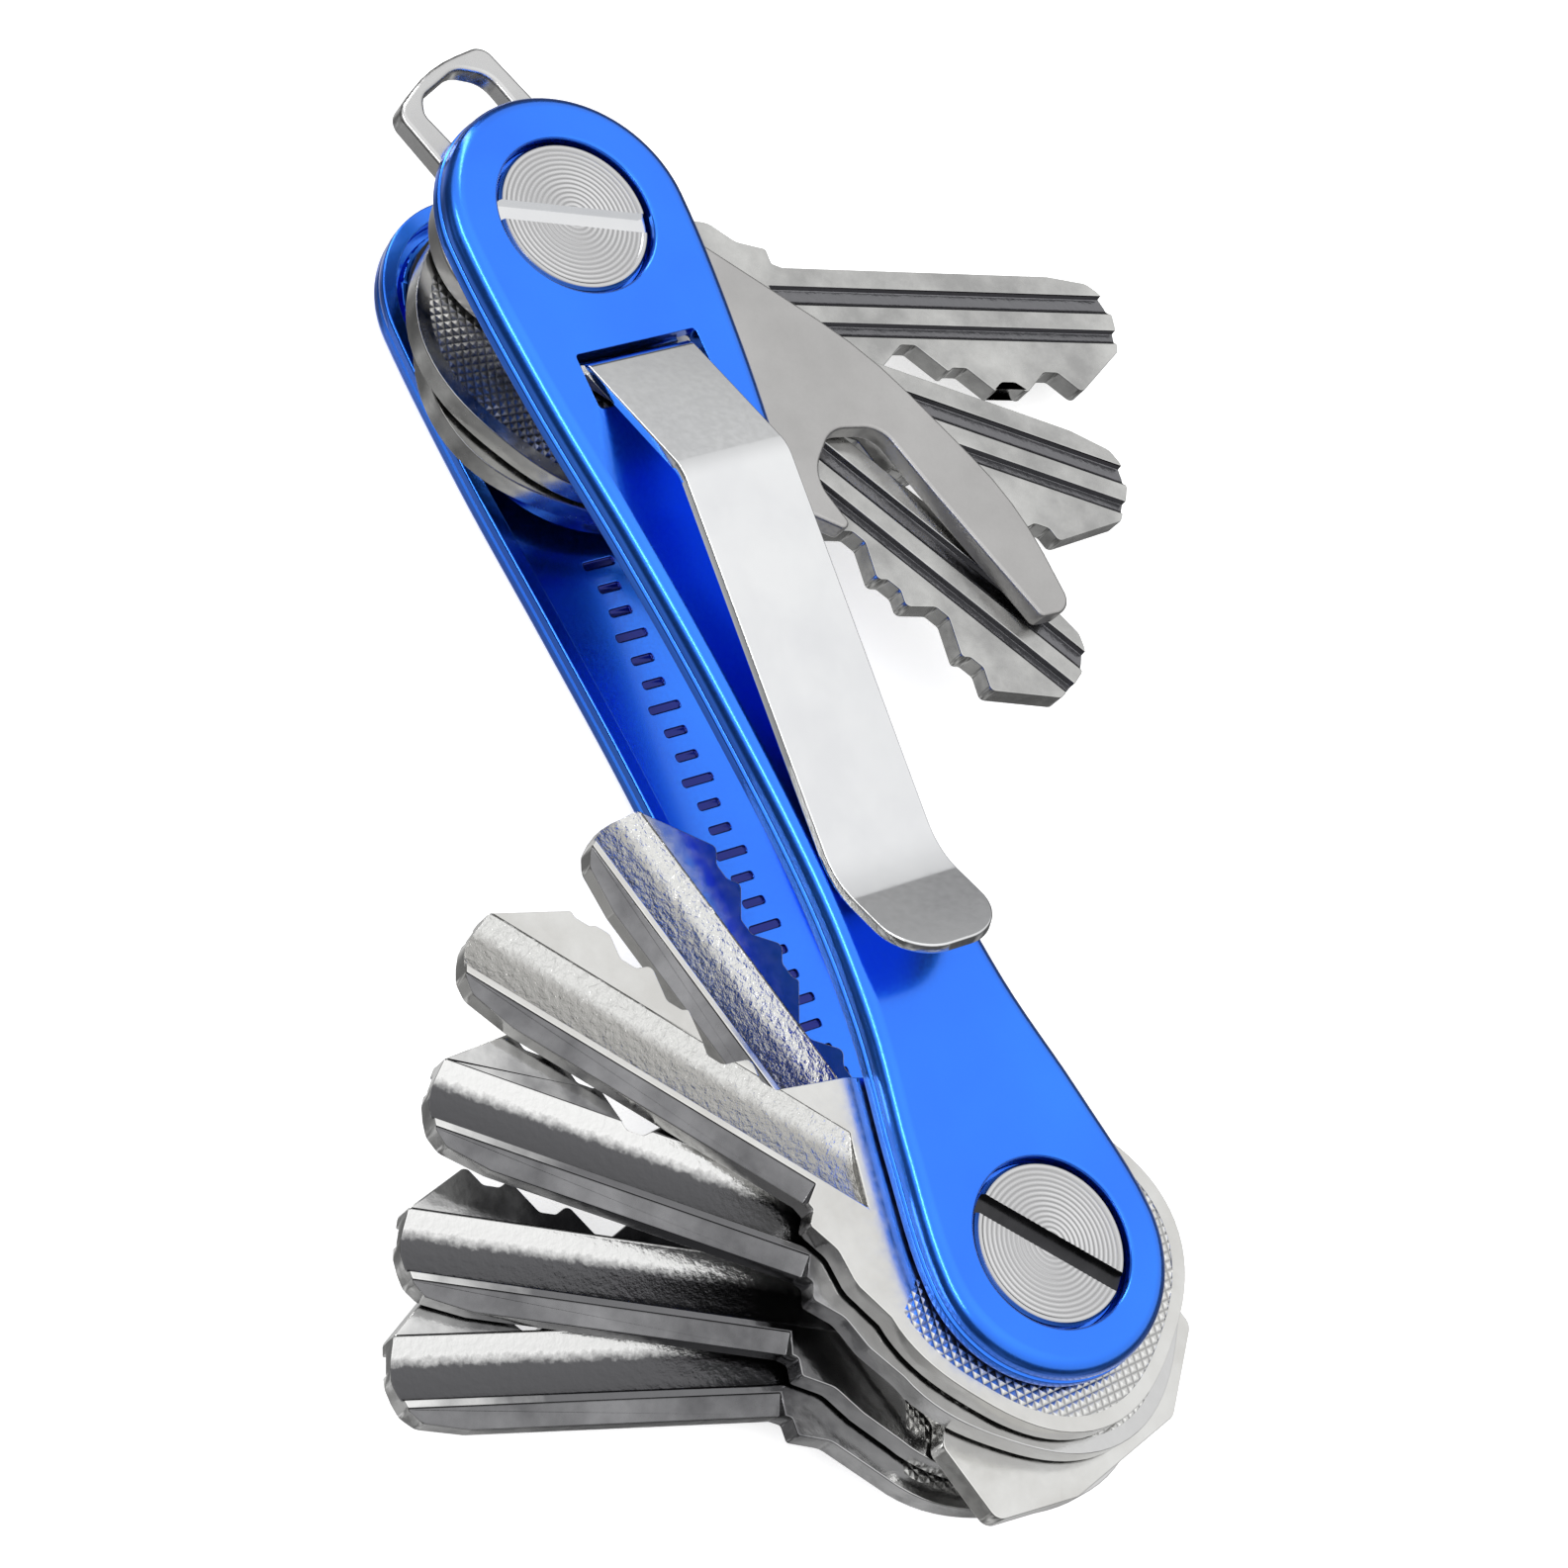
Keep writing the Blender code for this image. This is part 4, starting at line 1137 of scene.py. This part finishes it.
# %% Floor and world
bpy.ops.mesh.primitive_plane_add(size=8.0, location=(0.0, 0.0, cad_low.z))
floor = bpy.context.object
floor.name = "paper_floor"
floor.data.materials.append(paper)
floor.visible_glossy = False

world = bpy.data.worlds.new("light_tent")
world.use_nodes = True
bpy.context.scene.world = world
TENT_STOPS = ((0.0, 0.36), (0.30, 0.14), (0.50, 0.12), (0.59, 0.13), (0.622, 0.18),
              (0.645, 0.82), (0.70, 0.85), (0.80, 0.93), (0.895, 1.06), (1.0, 1.35))
direction = add(world, "TexCoord")
parts = add(world, "SeparateXYZ", {"Vector": (direction, "Generated")})
rise = add(world, "MapRange", {"Value": (parts, "Z"), "From Min": -1.0})
tent = ramp(world, rise, "Result", *TENT_STOPS)
room = add(world, "TexNoise", {"Vector": (direction, "Generated"), "Scale": 2.2, "Detail": 1.0})
shapes = add(world, "MapRange", {"Value": (room, "Fac"), "From Min": 0.42, "From Max": 0.62,
                                 "To Min": 0.6, "To Max": 2.6})
below = add(world, "MapRange", {"Value": (parts, "Z"), "From Min": 0.1, "From Max": -0.2})
strength = add(world, "Mix", {"Factor": (below, "Result"), "A": 1.0, "B": (shapes, "Result")})
background = world.node_tree.nodes["Background"]
link(world, tent, "Color", background, "Color")
link(world, strength, "Result", background, "Strength")
print("light tent with", len(TENT_STOPS), "stops")

# %% [markdown]
# Two long, narrow softboxes add what the tent can't: the pale line along each rounded shoulder.
# Their length makes the line long, and their narrow width keeps it fine.

# %% Lights
def softbox(name, direction, distance, width, height, power):
    """An area light that faces the object's middle from a direction."""
    data = bpy.data.lights.new(name, "AREA")
    data.shape = "RECTANGLE"
    data.size = width
    data.size_y = height
    data.energy = power
    lamp = bpy.data.objects.new(name, data)
    bpy.context.scene.collection.objects.link(lamp)
    lamp.location = Vector(direction).normalized() * distance
    lamp.rotation_euler = Vector(direction).to_track_quat("Z", "Y").to_euler()
    print(name, "of", width, "x", height, "m")


softbox("front_strip", (-0.2, -0.75, 0.6), 0.9, 0.9, 0.09, 2.4)
softbox("left_strip", (-0.95, 0.05, 0.45), 0.9, 0.10, 0.9, 1.8)

# %% [markdown]
# ## The camera
#
# A long lens looks steeply down on the organiser from the side of the lower keys. The camera is
# turned about its own axis, so that the organiser lies diagonally in the square frame.

# %% Camera
LENS_MM = 125.8
SENSOR_MM = 36.0
CAMERA_PLACE = (0.0788, -0.2149, 0.3055)        # metres
camera_data = bpy.data.cameras.new("camera")
camera_data.lens = LENS_MM
camera_data.sensor_width = SENSOR_MM
camera = bpy.data.objects.new("camera", camera_data)
bpy.context.scene.collection.objects.link(camera)
right = Vector((0.4101, 0.7846, 0.4650))
up = Vector((-0.8888, 0.2294, 0.3968))
back_away = Vector((0.2046, -0.5760, 0.7914))
turn = Matrix((right, up, back_away)).transposed().to_4x4()
camera.matrix_world = Matrix.Translation(CAMERA_PLACE) @ turn
bpy.context.scene.camera = camera
bpy.context.scene.view_settings.view_transform = "Standard"
print("camera at", [round(v, 3) for v in camera.matrix_world.translation])
